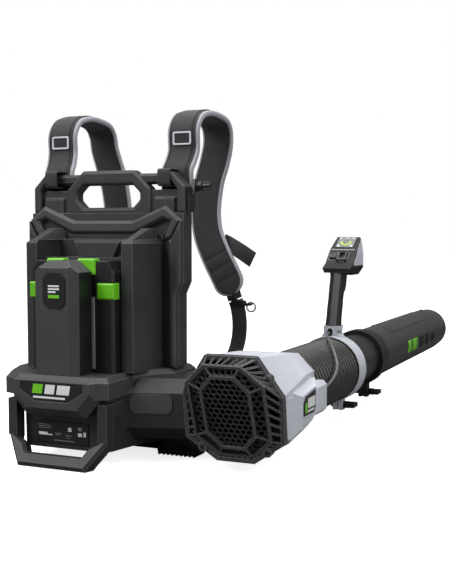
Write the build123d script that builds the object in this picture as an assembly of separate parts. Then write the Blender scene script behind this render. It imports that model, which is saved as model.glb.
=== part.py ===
from build123d import *
import math
import os

# Backpack leaf blower with two batteries, in millimetres.
# +X is the operator's right, +Y the way the air leaves, +Z up. The floor is Z = 0.
# X = 0 is the middle of the backpack, and Y = 0 lies in the back frame.

# Clearances
MOVING_GAP = 0.4
SOFT_GAP = 0.3

# Backpack frame
FRAME_HALF_WIDTH = 150.0
EAR_OVERHANG = 10.0
EAR_HALF_WIDTH = FRAME_HALF_WIDTH + EAR_OVERHANG
FRAME_FRONT_Y = -8.0
FRAME_BACK_Y = 26.0
FRAME_WALL = 4.0
FRAME_BOTTOM_Z = 158.0
FRAME_TOP_Z = 436.0
EAR_STEP_Z = 300.0
EAR_STEP_HEIGHT = 22.0
EAR_TOP_Z = 510.0
EAR_CORNER = 27.0
EAR_BAR = 15.0
SHOULDER_PANEL_TOP_Z = 478.0
SHOULDER_PANEL_Y = 6.0
SHOULDER_PANEL_DEPTH = 10.0
SHOULDER_STEP = 7.0
RAIL_FRONT_Y = -24.0
RAIL_WIDTH = 14.0
HOOD_FRONT_Y = -20.0
HOOD_MIDDLE_Z = 422.0
HOOD_MIDDLE_HALF_WIDTH = 62.0
HOOD_PEAK_Z = 449.0
HOOD_PEAK_INSET = 32.0
HOOD_PEAK_X = EAR_HALF_WIDTH - HOOD_PEAK_INSET
HOOD_CORNER_Z = 422.0
HOOD_FOOT_Z = 388.0
HOOD_BAND = 24.0
HOOD_CHAMFER = 5.0

# Carry handle
HANDLE_HALF_WIDTH = 89.0
HANDLE_TOP_HALF_WIDTH = 54.0
HANDLE_TOP_Z = 514.0
HANDLE_SHOULDER_Z = 480.0
HANDLE_BAR = 27.0
HANDLE_DEPTH = 26.0
HANDLE_Y = 13.0
HANDLE_HOLE_HALF_WIDTH = 66.0
HANDLE_HOLE_CORNER = 14.0
HANDLE_HOLE_BOTTOM_Z = 446.0

# Strap bars between the ears and the frame's posts
STRAP_BAR_Y = 19.0
STRAP_BAR_Z = 508.0
STRAP_BAR_SIZE = 20.0

# Battery bay
BATTERY_WIDTH = 72.0
BATTERY_DEPTH = 48.0
BATTERY_HEIGHT = 232.0
BATTERY_FRONT_Y = -124.0
BATTERY_INNER_X = 12.0
BATTERY_BOTTOM_Z = 120.0
BATTERY_CORNER = 13.0
PACK_WALL = 3.0
CELL_RADIUS = 10.4
CELL_LENGTH = 70.0
CELL_COLUMNS = 3
CELL_ROWS = 2
CELL_LAYERS = 2
DOCK_FIT = 1.0
BAY_BACK_GAP = 2.0
PANEL_WALL = 4.0
BUTTON_TRAVEL = 3.0
LATCH_WIDTH = 35.0
LATCH_DEPTH = 18.0
LATCH_HEIGHT = 24.0
RELEASE_WIDTH = 32.0
RELEASE_DEPTH = 20.0
RELEASE_HEIGHT = 28.0
RELEASE_DROP = 38.0
PANEL_FRONT_Y = -102.0
PANEL_HALF_WIDTH = 109.0
PANEL_SLOPE_Z = 388.0
PANEL_TOP_Z = 400.0
RECESS_BOTTOM_Z = 356.0
RECESS_BACK_Y = -30.0
WEDGE_TOP_Z = 408.0
PANEL_TOP_Y = -14.0
COLUMN_FRONT_Y = -178.0
COLUMN_NOSE_HALF_WIDTH = 27.0
COLUMN_HALF_WIDTH = 44.0
COLUMN_CHAMFER_Y = 8.0
COLUMN_TOP_Z = 353.0
COLUMN_TOP_CHAMFER = 12.0
SPINE_HALF_WIDTH = 9.0

# Base
BASE_BOTTOM_Z = 26.0
BASE_WALL = 3.5
DECK_BOTTOM_Z = 122.0
DECK_TOP_Z = 158.0
DECK_BEVEL = 8.0
DECK_FRONT_Y = -186.0
BASE_BACK_Y = 62.0
BADGE_FRONT_Y = -192.0
BADGE_HALF_WIDTH = 74.0
BADGE_BOTTOM_Z = 103.0
BADGE_TOP_Z = 154.0
PLATE_THICKNESS = 2.0
RATING_WIDTH = 105.0
RATING_HEIGHT = 38.0
RATING_Z = 54.0
LOWER_FRONT_Y = -150.0
BASE_TAPER = 0.97
BOARD_Z = 44.0

# Bumper loop, the front foot
LOOP_HALF_WIDTH = 99.0
LOOP_BAR = 17.0
LOOP_DEPTH = 24.0
LOOP_FOOT_HALF_WIDTH = 67.0
LOOP_SHOULDER_Z = 49.0
LOOP_TOP_Z = 113.0
LOOP_LEG_Y = -176.0
LOOP_BAR_DROP = 51.0
LOOP_BAR_HEIGHT = 25.0
LOOP_KICK = 28.0

# Rubber feet
FOOT_HEIGHT = 26.0
RIB_FOOT_HEIGHT = 14.0
FOOT_LENGTH = 44.0
FOOT_WIDTH = 90.0
SIDE_FOOT_X = 112.0
SIDE_FOOT_LENGTH = 78.0
SIDE_FOOT_Y = -22.0
SIDE_FOOT_WIDTH = 44.0
SIDE_FOOT_RIBS = 9

# Arm between the base and the fan
ARM_INNER_X = 84.0
ARM_FRONT_Y = -108.0
ARM_TURN = 17.5
ARM_BACK_Y = 40.0
ARM_BOTTOM_Z = 40.0
ARM_TOP_Z = 146.0
ARM_SLOPE_Z = 124.0
ARM_WALL = 4.0
ARM_PLATE_WIDTH = 74.0
ARM_PLATE_HEIGHT = 34.0

# Fan unit
FAN_X = 300.0
FAN_Z = 110.0
SHELL_WALL = 3.0
SHELL_MARGIN = 3.0
SHELL_MID_Y = 24.0
SHELL_MID_HALF = 80.0
SHELL_NECK_Y = 88.0
SHELL_NECK_HALF = 73.0
SHELL_END_Y = 104.0
SHELL_END_HALF = 66.0
RIM_Y = -109.0
RIM_Z = 105.0
RIM_TILT = 8.0
RIM_HALF_WIDTH = 90.0
RIM_WIDTH = 7.5
RIM_DEPTH = 12.0
FACE_Y = -127.0
FACE_Z = 109.0
FACE_TILT = 20.5
FACE_HALF_WIDTH = 69.0
FACE_HALF_HEIGHT = 85.0
CENTRE_HALF_WIDTH = 45.0
CENTRE_HALF_HEIGHT = 68.0
CENTRE_LIFT = 5.0
GUARD_BAR_DEPTH = 5.0
GUARD_BAR = 4.0
GUARD_RIBS_PER_SIDE = 6
MESH_THICKNESS = 2.2
MESH_PITCH = 10.5
MESH_WEB = 2.2
DUCT_RADIUS = 68.0
DUCT_START_Y = -58.0
IMPELLER_RADIUS = 66.0
IMPELLER_HUB_RADIUS = 26.0
IMPELLER_BLADES = 9
IMPELLER_Y = -24.0
IMPELLER_DEPTH = 34.0
SHAFT_RADIUS = 4.0
SHAFT_FIT = 0.05
MOTOR_RADIUS = 25.0
MOTOR_LENGTH = 76.0
MOTOR_GAP = 5.0
VANE_COUNT = 7
VANE_THICKNESS = 2.5
SIDE_BOX_X = 398.0
SIDE_BOX_START_Y = -72.0
SIDE_BOX_END_Y = 66.0
SIDE_BOX_BOTTOM_Z = 60.0
SIDE_BOX_TOP_Z = 146.0
CABLE_BOX_X = 388.0
CABLE_BOX_WIDTH = 20.0
CABLE_BOX_LENGTH = 56.0
CABLE_BOX_HEIGHT = 58.0
CABLE_BOX_Z = 104.0

# Bellows hose
BELLOWS_RADIUS = 67.0
BELLOWS_ROOT_RADIUS = 60.0
BELLOWS_WALL = 3.0
BELLOWS_BORE = 57.0
BELLOWS_END_Y = 408.0
BELLOWS_RIBS = 9
CENTRE_RING_WIDTH = 14.0

# Blow tube and nozzle
TUBE_RADIUS = 54.5
TUBE_WALL = 2.0
NOZZLE_RADIUS = 58.0
NOZZLE_WALL = 2.0
MOUTH_RADIUS = 55.0
MOUTH_LENGTH = 20.0
MOUTH_TAPER = 40.0
NOZZLE_END_Y = 1336.0
COLLAR_RADIUS = 64.0
COLLAR_STEP_RADIUS = 61.0
COLLAR_START_Y = 600.0
COLLAR_WIDTH = 30.0
COLLAR_STEP_WIDTH = 25.0
NOZZLE_START_Y = COLLAR_START_Y + COLLAR_WIDTH + COLLAR_STEP_WIDTH
NOZZLE_TRAVEL = 100.0
TUBE_OVERLAP = 105.0
TUBE_END_Y = NOZZLE_START_Y + NOZZLE_TRAVEL + TUBE_OVERLAP
CLAMP_BLOCK_WIDTH = 22.0
LUG_X = FAN_X + 14.0

# Handle
RING_RADIUS = 70.0
RING_SKIRT = 16.0
RING_WIDTH = 26.0
RING_Y = 412.0
STEM_HALF_WIDTH = 16.0
STEM_TOP_Z = 201.0
GRIP_RADIUS = 17.5
GRIP_TOP_Z = 312.0
GRIP_LEAN = 17.0
HEAD_HALF_WIDTH = 31.0
HEAD_TOP_HALF_WIDTH = 26.0
HEAD_FOOT_HALF_WIDTH = 24.0
HEAD_BOTTOM_Z = 306.0
HEAD_TOP_Z = 388.0
HEAD_FRONT_Y = 543.0
HEAD_FACE_START = (462.0, 331.0)
HEAD_DISPLAY_START = (495.0, 362.0)
HEAD_DISPLAY_END = (535.0, 388.0)
COVER_THICKNESS = 5.0
COVER_SETBACK = 9.0
WING_RADIUS = 14.0
WING_SCREW_RADIUS = 4.0

# Straps
STRAP_INSET = 29.0
STRAP_X = EAR_HALF_WIDTH - STRAP_INSET
SLIDER_Z = 572.0
STRAP_WIDTH = 64.0
STRAP_THICKNESS = 12.0
STRAP_REAR_Y = 54.0
STRAP_FRONT_Y = 208.0
STRAP_APEX_Z = 622.0
WEBBING_WIDTH = 26.0
WEBBING_THICKNESS = 2.5
PAD_THICKNESS = 22.0
BACK_PAD_Z = 330.0
BACK_PAD_INSET = 57.0
BACK_PAD_HALF_HEIGHT = 96.0
BACK_PAD_CORNER = 26.0
HIP_PAD_Z = 192.0
HIP_PAD_INSET = 33.0
HIP_PAD_HALF_HEIGHT = 34.0
HIP_PAD_CORNER = 18.0
HIP_PAD_EXTRA = 8.0
RING_LOOP_RADIUS = 9.0
RING_WIRE_RADIUS = 1.6

# Control cable
CABLE_RADIUS = 2.75

os.makedirs("parts", exist_ok=True)


def prism(points, direction):
    """A solid swept from a flat polygon of 3-D points."""
    outline = Wire.make_polygon([Vector(*point) for point in points], close=True)
    return Solid.extrude(Face(outline), Vector(*direction))


def prism_x(points, start, end):
    """Points are (y, z)."""
    return prism([(start, y, z) for y, z in points], (end - start, 0, 0))


def prism_y(points, start, end):
    """Points are (x, z)."""
    return prism([(x, start, z) for x, z in points], (0, end - start, 0))


def prism_z(points, start, end):
    """Points are (x, y)."""
    return prism([(x, y, start) for x, y in points], (0, 0, end - start))


def block(x0, x1, y0, y1, z0, z1):
    return prism_z([(x0, y0), (x1, y0), (x1, y1), (x0, y1)], z0, z1)


def facets(*sections):
    """A solid with straight facets between polygons that have equally many points."""
    rings = [Wire.make_polygon([Vector(*p) for p in section], close=True) for section in sections]
    return Solid.make_loft(rings, True)


def octagon(half_width, half_height, corner_x, corner_y=None):
    """Eight (x, y) points: a rectangle about zero with its corners cut off."""
    cut = corner_x if corner_y is None else corner_y
    inner_x = half_width - corner_x
    inner_y = half_height - cut
    return [
        (half_width, -inner_y), (half_width, inner_y), (inner_x, half_height), (-inner_x, half_height),
        (-half_width, inner_y), (-half_width, -inner_y), (-inner_x, -half_height), (inner_x, -half_height),
    ]


def cylinder_y(radius, start, end, x=FAN_X, z=FAN_Z):
    return Solid.make_cylinder(radius, end - start, Plane(origin=(x, start, z), z_dir=(0, 1, 0)))


def tube_y(outer, inner, start, end, x=FAN_X, z=FAN_Z):
    return cylinder_y(outer, start, end, x, z) - cylinder_y(inner, start - 1, end + 1, x, z)


def cylinder_x(radius, start, end, y, z):
    return Solid.make_cylinder(radius, end - start, Plane(origin=(start, y, z), z_dir=(1, 0, 0)))


def cylinder_z(radius, start, end, x, y):
    return Solid.make_cylinder(radius, end - start, Plane(origin=(x, y, start), z_dir=(0, 0, 1)))


def left_of(shape):
    """The mirror image on the operator's left."""
    return mirror(shape, about=Plane.YZ)


def bevel(solid, edges, size):
    return solid.chamfer(size, None, list(edges))


def front_edges(solid, y):
    """Edges that lie wholly in the plane at y."""
    return [e for e in solid.edges() if all(abs(v.Y - y) < 0.01 for v in e.vertices())]


def ribbon(stations, width, thickness):
    """A flat band. Each station is a centre, the way across it, and the way out of its face."""
    sections = []
    for centre, across, out in stations:
        side = Vector(*across).normalized() * (width / 2)
        up = Vector(*out).normalized() * (thickness / 2)
        middle = Vector(*centre)
        sections.append([middle - side - up, middle + side - up, middle + side + up, middle - side + up])
    faces = []
    for low, high in zip(sections, sections[1:]):
        for i in range(4):
            j = (i + 1) % 4
            faces.append(Face(Wire.make_polygon([low[i], low[j], high[j]], close=True)))
            faces.append(Face(Wire.make_polygon([low[i], high[j], high[i]], close=True)))
    for cap in (sections[0], sections[-1]):
        faces.append(Face(Wire.make_polygon([cap[0], cap[1], cap[2]], close=True)))
        faces.append(Face(Wire.make_polygon([cap[0], cap[2], cap[3]], close=True)))
    return Solid(Shell(faces))


def cable(points, radius):
    """A tube of straight runs joined by tangent arcs, each as large as its two runs allow."""
    corners = [Vector(*point) for point in points]
    radii = []
    for before, corner, after in zip(corners, corners[1:], corners[2:]):
        turn = (corner - before).get_angle(after - corner)
        shorter = min((corner - before).length, (after - corner).length)
        radii.append(0.45 * shorter / math.tan(math.radians(turn / 2)))
    path = FilletPolyline(*corners, radius=radii)
    start = Plane(origin=corners[0], z_dir=corners[1] - corners[0])
    tube = sweep(start * Circle(radius), path=path)
    section = math.pi * radius**2
    print("cable radii", [round(r) for r in radii], "length", round(path.length, 1),
          "volume over section times length", round(tube.volume / (section * path.length), 4))
    return tube


def save(name, *shapes):
    """Write the solids of these shapes as one named piece."""
    solids = [solid for shape in shapes for solid in shape.solids()]
    export_step(Compound(children=solids), f"parts/{name}.step")


# ---------------------------------------------------------------- backpack frame

def back_frame():
    """A tray that opens towards the operator, with two ribs that carry the back pad."""
    outline = [
        (FRAME_HALF_WIDTH, FRAME_BOTTOM_Z), (FRAME_HALF_WIDTH, EAR_STEP_Z - EAR_STEP_HEIGHT / 2),
        (EAR_HALF_WIDTH, EAR_STEP_Z + EAR_STEP_HEIGHT / 2), (EAR_HALF_WIDTH, FRAME_TOP_Z),
    ]
    outline += [(-x, z) for x, z in reversed(outline)]
    inner = [
        (FRAME_HALF_WIDTH - FRAME_WALL, FRAME_BOTTOM_Z + FRAME_WALL),
        (FRAME_HALF_WIDTH - FRAME_WALL, FRAME_TOP_Z - FRAME_WALL),
    ]
    inner += [(-x, z) for x, z in reversed(inner)]
    tray = prism_y(outline, FRAME_FRONT_Y, FRAME_BACK_Y)
    tray -= prism_y(inner, FRAME_FRONT_Y + FRAME_WALL, FRAME_BACK_Y + 1)
    rib_x = FRAME_HALF_WIDTH / 3
    for x in (-rib_x, rib_x):
        tray += block(x - FRAME_WALL / 2, x + FRAME_WALL / 2, FRAME_FRONT_Y, FRAME_BACK_Y,
                      FRAME_BOTTOM_Z, FRAME_TOP_Z)
    panel = shoulder_panel()
    return tray + panel + left_of(panel)


def shoulder_panel():
    """The right panel between the handle and the ear, with a raised step."""
    inner_x = HANDLE_HALF_WIDTH
    outer_x = EAR_HALF_WIDTH - EAR_BAR
    panel = prism_y([(inner_x, FRAME_TOP_Z - 1), (outer_x, FRAME_TOP_Z - 1), (outer_x, EAR_TOP_Z - EAR_CORNER - 8),
                     (outer_x - 8, SHOULDER_PANEL_TOP_Z), (inner_x, SHOULDER_PANEL_TOP_Z)],
                    SHOULDER_PANEL_Y, SHOULDER_PANEL_Y + SHOULDER_PANEL_DEPTH)
    front = SHOULDER_PANEL_Y - SHOULDER_STEP
    step = block(inner_x + 8, outer_x - 7, front, SHOULDER_PANEL_Y + 1, FRAME_TOP_Z - 1, SHOULDER_PANEL_TOP_Z - 14)
    return panel + bevel(step, [e for e in front_edges(step, front) if e.center().Z > FRAME_TOP_Z], 3)


def side_rail():
    """The right side rail on the frame's front, and the ear above it that holds the strap bar."""
    inner_x = FRAME_HALF_WIDTH - RAIL_WIDTH
    rail = prism_y([
        (inner_x, FRAME_BOTTOM_Z), (FRAME_HALF_WIDTH, FRAME_BOTTOM_Z),
        (FRAME_HALF_WIDTH, EAR_STEP_Z - EAR_STEP_HEIGHT / 2),
        (EAR_HALF_WIDTH, EAR_STEP_Z + EAR_STEP_HEIGHT / 2),
        (EAR_HALF_WIDTH, HOOD_CORNER_Z), (inner_x + 4, HOOD_FOOT_Z), (inner_x, HOOD_FOOT_Z),
    ], RAIL_FRONT_Y, FRAME_FRONT_Y)
    rail = bevel(rail, front_edges(rail, RAIL_FRONT_Y), 4)
    ear_x = EAR_HALF_WIDTH - EAR_CORNER
    ear_front = FRAME_FRONT_Y + 4
    ear = prism_y([
        (EAR_HALF_WIDTH, FRAME_TOP_Z), (EAR_HALF_WIDTH, EAR_TOP_Z - EAR_CORNER),
        (ear_x, EAR_TOP_Z), (ear_x - 8, EAR_TOP_Z), (ear_x - 8, EAR_TOP_Z - EAR_BAR),
        (ear_x - 2, EAR_TOP_Z - EAR_BAR), (EAR_HALF_WIDTH - EAR_BAR, EAR_TOP_Z - EAR_CORNER - 6),
        (EAR_HALF_WIDTH - EAR_BAR, FRAME_TOP_Z),
    ], ear_front, FRAME_BACK_Y + 3)
    ear = bevel(ear, front_edges(ear, ear_front), 3)
    return rail, ear


def frame_hood():
    """The faceted ridge across the top: low in the middle, with a peak at each side."""
    inner_x = FRAME_HALF_WIDTH - RAIL_WIDTH
    upper = [(HOOD_MIDDLE_HALF_WIDTH, HOOD_MIDDLE_Z), (HOOD_PEAK_X, HOOD_PEAK_Z),
             (EAR_HALF_WIDTH, HOOD_CORNER_Z + 0.5)]
    lower = [(inner_x + 4, HOOD_FOOT_Z + 0.5), (inner_x - 12, HOOD_FOOT_Z + 0.5),
             (EAR_HALF_WIDTH - 22, HOOD_CORNER_Z - 2), (HOOD_PEAK_X - 4, HOOD_PEAK_Z - HOOD_BAND),
             (HOOD_MIDDLE_HALF_WIDTH + 4, HOOD_MIDDLE_Z - HOOD_BAND)]
    right = upper + lower
    left = [(-x, z) for x, z in reversed(right)]
    ridge = prism_y(right + left, HOOD_FRONT_Y, FRAME_FRONT_Y)
    return bevel(ridge, front_edges(ridge, HOOD_FRONT_Y), HOOD_CHAMFER)


def centre_panel():
    """The hollow bulge behind the batteries with the bay that they stand in, and the recess over it."""
    foot_x = FRAME_HALF_WIDTH - RAIL_WIDTH - 14
    plan = [(PANEL_HALF_WIDTH, PANEL_FRONT_Y), (foot_x, FRAME_FRONT_Y)]
    plan += [(-x, y) for x, y in reversed(plan)]
    bay_x = BATTERY_INNER_X + BATTERY_WIDTH + 3
    bay_y = battery_back_y() + BAY_BACK_GAP
    body = prism_z(plan, DECK_TOP_Z, PANEL_SLOPE_Z)
    rim = [e for e in body.edges() if all(abs(v.Z - PANEL_SLOPE_Z) < 0.01 for v in e.vertices())
           and e.center().Y < FRAME_FRONT_Y - 1]
    body = bevel(body, rim, 6)
    body -= block(-bay_x, bay_x, PANEL_FRONT_Y - 1, bay_y, DECK_TOP_Z - 1, PANEL_SLOPE_Z + 1)
    body -= block(-bay_x, bay_x, PANEL_FRONT_Y - 1, RECESS_BACK_Y, RECESS_BOTTOM_Z, PANEL_SLOPE_Z + 1)
    hollow = [(PANEL_HALF_WIDTH - PANEL_WALL, PANEL_FRONT_Y + 2 * PANEL_WALL),
              (foot_x - PANEL_WALL, FRAME_FRONT_Y + 1)]
    hollow += [(-x, y) for x, y in reversed(hollow)]
    cavity = prism_z(hollow, DECK_TOP_Z - 1, PANEL_SLOPE_Z - 2 * PANEL_WALL)
    cavity -= block(-bay_x - PANEL_WALL, bay_x + PANEL_WALL, PANEL_FRONT_Y, bay_y + PANEL_WALL,
                    DECK_TOP_Z - 2, PANEL_SLOPE_Z)
    cavity -= block(-bay_x - PANEL_WALL, bay_x + PANEL_WALL, PANEL_FRONT_Y, RECESS_BACK_Y + PANEL_WALL,
                    RECESS_BOTTOM_Z - PANEL_WALL, PANEL_SLOPE_Z)
    body -= cavity
    body += block(-foot_x, foot_x, PANEL_TOP_Y, FRAME_FRONT_Y, PANEL_SLOPE_Z - 1, PANEL_TOP_Z - 3)
    relief_y = RECESS_BACK_Y - 9
    low, high = RECESS_BOTTOM_Z + 1, PANEL_SLOPE_Z - 2
    relief = facets(
        [(-38, RECESS_BACK_Y, low), (38, RECESS_BACK_Y, low), (54, RECESS_BACK_Y, high), (-54, RECESS_BACK_Y, high)],
        [(-33, relief_y, low), (33, relief_y, low), (46, relief_y, high - 4), (-46, relief_y, high - 4)])
    wedge = facets(
        [(bay_x + 4, PANEL_FRONT_Y + 8, PANEL_SLOPE_Z - 1), (PANEL_HALF_WIDTH - 7, PANEL_FRONT_Y + 8, PANEL_SLOPE_Z - 1),
         (foot_x - 8, HOOD_FRONT_Y, PANEL_SLOPE_Z - 1), (bay_x - 10, HOOD_FRONT_Y, PANEL_SLOPE_Z - 1)],
        [(bay_x + 4, HOOD_FRONT_Y - 16, WEDGE_TOP_Z), (PANEL_HALF_WIDTH - 3, HOOD_FRONT_Y - 16, WEDGE_TOP_Z),
         (foot_x - 10, HOOD_FRONT_Y, WEDGE_TOP_Z), (bay_x - 2, HOOD_FRONT_Y, WEDGE_TOP_Z)])
    return body + relief + wedge + left_of(wedge)


def battery_back_y():
    return BATTERY_FRONT_Y + BATTERY_DEPTH


def carry_handle():
    """The lifting loop that stands on the frame, with a hand hole."""
    outer = [
        (HANDLE_HALF_WIDTH, FRAME_TOP_Z), (HANDLE_HALF_WIDTH, HANDLE_SHOULDER_Z),
        (HANDLE_TOP_HALF_WIDTH, HANDLE_TOP_Z),
    ]
    outer += [(-x, z) for x, z in reversed(outer)]
    front_y = HANDLE_Y - HANDLE_DEPTH / 2
    back_y = HANDLE_Y + HANDLE_DEPTH / 2
    loop = prism_y(outer, front_y, back_y)
    hole_height = HANDLE_TOP_Z - HANDLE_BAR - HANDLE_HOLE_BOTTOM_Z
    hole_z = HANDLE_HOLE_BOTTOM_Z + hole_height / 2
    hole = [(x, z + hole_z) for x, z in octagon(HANDLE_HOLE_HALF_WIDTH, hole_height / 2, HANDLE_HOLE_CORNER)]
    loop -= prism_y(hole, front_y - 1, back_y + 1)
    edges = [e for e in front_edges(loop, front_y) + front_edges(loop, back_y)
             if e.center().Z > FRAME_TOP_Z + 0.5]
    return bevel(loop, edges, 4)


def strap_bar():
    """The right cross bar that the shoulder strap is looped over, from the handle to the ear."""
    half = STRAP_BAR_SIZE / 2
    section = [(y + STRAP_BAR_Y, z + STRAP_BAR_Z - half) for y, z in octagon(half, half, half / 2)]
    end_x = EAR_HALF_WIDTH - EAR_CORNER - 8
    bar = prism_x(section, HANDLE_TOP_HALF_WIDTH, end_x) - carry_handle()
    return bar.solids().sort_by(Axis.X)[-1]


def side_bracket():
    """The bracket on the outside of the right ear, with its thumb knob."""
    start = EAR_HALF_WIDTH
    y = 26.0
    z = 484.0
    plate = prism_x([(4, FRAME_TOP_Z), (20, FRAME_TOP_Z), (29, 448), (29, 480), (22, 482), (4, 482)],
                    start, start + 6)
    arm = prism_x([(y - 16, z - 14), (y + 8, z - 10), (y + 10, z + 10), (y - 10, z + 12)], start + 6, start + 12)
    boss = cylinder_x(9, start + 12, start + 22, y, z)
    knob = cylinder_x(6, start + 22, start + 38, y, z)
    for step in range(6):
        angle = math.radians(60 * step)
        knob += cylinder_x(2, start + 26, start + 37, y + 6.5 * math.cos(angle), z + 6.5 * math.sin(angle))
    return plate + arm + boss + knob


def back_pads():
    """The padded panel against the operator's back and the hip pad under it."""
    start = FRAME_BACK_Y + SOFT_GAP
    back = prism_y([(x, z + BACK_PAD_Z) for x, z in octagon(
        FRAME_HALF_WIDTH - BACK_PAD_INSET, BACK_PAD_HALF_HEIGHT, BACK_PAD_CORNER)], start, start + PAD_THICKNESS)
    hip = prism_y([(x, z + HIP_PAD_Z) for x, z in octagon(
        FRAME_HALF_WIDTH - HIP_PAD_INSET, HIP_PAD_HALF_HEIGHT, HIP_PAD_CORNER)],
        start, start + PAD_THICKNESS + HIP_PAD_EXTRA)
    return back, hip


# ---------------------------------------------------------------- battery bay

def battery(side_gap=0.0):
    """The right battery pack: a tall block with a cut outer corner and a stepped top."""
    x0 = BATTERY_INNER_X
    x1 = x0 + BATTERY_WIDTH
    y0 = BATTERY_FRONT_Y
    y1 = battery_back_y()
    top = BATTERY_BOTTOM_Z + BATTERY_HEIGHT
    body = prism_y([
        (x0 - side_gap, BATTERY_BOTTOM_Z), (x1 + side_gap, BATTERY_BOTTOM_Z), (x1 + side_gap, top - 20),
        (x1 - BATTERY_CORNER, top), (x0 - side_gap, top),
    ], y0 - side_gap, y1 + side_gap)
    outer = [e for e in body.edges().filter_by(Axis.Z) if abs(e.center().X - x1 - side_gap) < 0.1]
    return bevel(body, outer, 4)


def release_button():
    """The right green button, proud of the battery's outer front corner. It is pressed inwards."""
    x1, y0, top = release_corner()
    cap = block(x1 - RELEASE_WIDTH, x1 + 2, y0 - 3.5, y0 - 3.5 + RELEASE_DEPTH, top - RELEASE_HEIGHT, top)
    return bevel(cap, front_edges(cap, y0 - 3.5), 2)


def release_corner():
    """The battery's outer front corner and the top of the button there."""
    return BATTERY_INNER_X + BATTERY_WIDTH, BATTERY_FRONT_Y, BATTERY_BOTTOM_Z + BATTERY_HEIGHT - RELEASE_DROP


def battery_with_pocket():
    """The battery with the pockets that its green button and its latch work in."""
    x1, y0, top = release_corner()
    pack = battery() - block(x1 - RELEASE_WIDTH - MOVING_GAP, x1 + 10, y0 - 10,
                             y0 - 3.5 + RELEASE_DEPTH + BUTTON_TRAVEL + MOVING_GAP,
                             top - RELEASE_HEIGHT - MOVING_GAP, top + MOVING_GAP)
    gap = MOVING_GAP
    grown = [(x + (gap if x > BATTERY_INNER_X + 10 else -gap), z - BUTTON_TRAVEL - gap)
             for x, z in latch_outline()]
    pocket = prism_y(grown, y0 - 10, y0 - 4 + LATCH_DEPTH + gap)
    above = block(BATTERY_INNER_X + 2 - gap, BATTERY_INNER_X + 2 + LATCH_WIDTH + gap, y0 - 10,
                  y0 - 4 + LATCH_DEPTH + gap, BATTERY_BOTTOM_Z + BATTERY_HEIGHT - 6, COLUMN_TOP_Z + 20)
    return pack - pocket - above - cell_room()


def cell_room():
    """The room inside the right battery's casing, below its button and latch."""
    wall = PACK_WALL
    return block(BATTERY_INNER_X + wall, BATTERY_INNER_X + BATTERY_WIDTH - wall - 1, BATTERY_FRONT_Y + wall,
                 battery_back_y() - wall, BATTERY_BOTTOM_Z + wall, BATTERY_BOTTOM_Z + wall + CELL_LAYERS * CELL_LENGTH)


def battery_cells():
    """The round cells of the right battery, standing in rows from the casing's floor to its roof."""
    room = cell_room().bounding_box()
    pitch_x = room.size.X / CELL_COLUMNS
    pitch_y = room.size.Y / CELL_ROWS
    cells = []
    for layer in range(CELL_LAYERS):
        z = room.min.Z + layer * CELL_LENGTH
        for column in range(CELL_COLUMNS):
            for row in range(CELL_ROWS):
                x = room.min.X + (column + 0.5) * pitch_x
                y = room.min.Y + (row + 0.5) * pitch_y
                cells.append(cylinder_z(CELL_RADIUS, z, z + CELL_LENGTH, x, y))
    return cells


def latch_outline():
    """The latch seen from the front: (x, z) corners of a block with its inner lower corner cut off."""
    top = BATTERY_BOTTOM_Z + BATTERY_HEIGHT
    x0 = BATTERY_INNER_X + 2
    x1 = x0 + LATCH_WIDTH
    return [(x0, top + 4), (x1, top + 4), (x1, top - LATCH_HEIGHT), (x1 - 14, top - LATCH_HEIGHT), (x0, top - 8)]


def latch():
    """The right green latch on top of the battery. It is pressed down."""
    y0 = BATTERY_FRONT_Y - 4
    block_ = prism_y(latch_outline(), y0, y0 + LATCH_DEPTH)
    return bevel(block_, front_edges(block_, y0), 2)


def battery_column():
    """The faceted column between the batteries, with the spine that ties it to the bay."""
    spine_back = battery_back_y() + BAY_BACK_GAP
    rear_y = BATTERY_FRONT_Y - 5
    plan = [
        (COLUMN_NOSE_HALF_WIDTH, COLUMN_FRONT_Y), (COLUMN_HALF_WIDTH, COLUMN_FRONT_Y + COLUMN_CHAMFER_Y),
        (COLUMN_HALF_WIDTH, rear_y), (SPINE_HALF_WIDTH, rear_y), (SPINE_HALF_WIDTH, spine_back),
    ]
    plan += [(-x, y) for x, y in reversed(plan)]
    column = prism_z(plan, DECK_TOP_Z, COLUMN_TOP_Z)
    wedge = prism_x([
        (COLUMN_FRONT_Y - 1, COLUMN_TOP_Z - COLUMN_TOP_CHAMFER), (COLUMN_FRONT_Y + COLUMN_TOP_CHAMFER, COLUMN_TOP_Z),
        (COLUMN_FRONT_Y + COLUMN_TOP_CHAMFER, COLUMN_TOP_Z + 5), (COLUMN_FRONT_Y - 1, COLUMN_TOP_Z + 5),
    ], -60, 60)
    column -= wedge
    for side in (-1, 1):
        x_in = side * (COLUMN_NOSE_HALF_WIDTH - 8)
        x_out = side * (COLUMN_HALF_WIDTH + 1)
        column -= prism_y([(x_out, COLUMN_TOP_Z - 20), (x_out, COLUMN_TOP_Z + 1), (x_in, COLUMN_TOP_Z + 1)],
                          COLUMN_FRONT_Y - 1, rear_y + 1)
    return column


def badge_outline(half_width, half_height, z):
    return [(x, y + z) for x, y in octagon(half_width, half_height, 9)]


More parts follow.
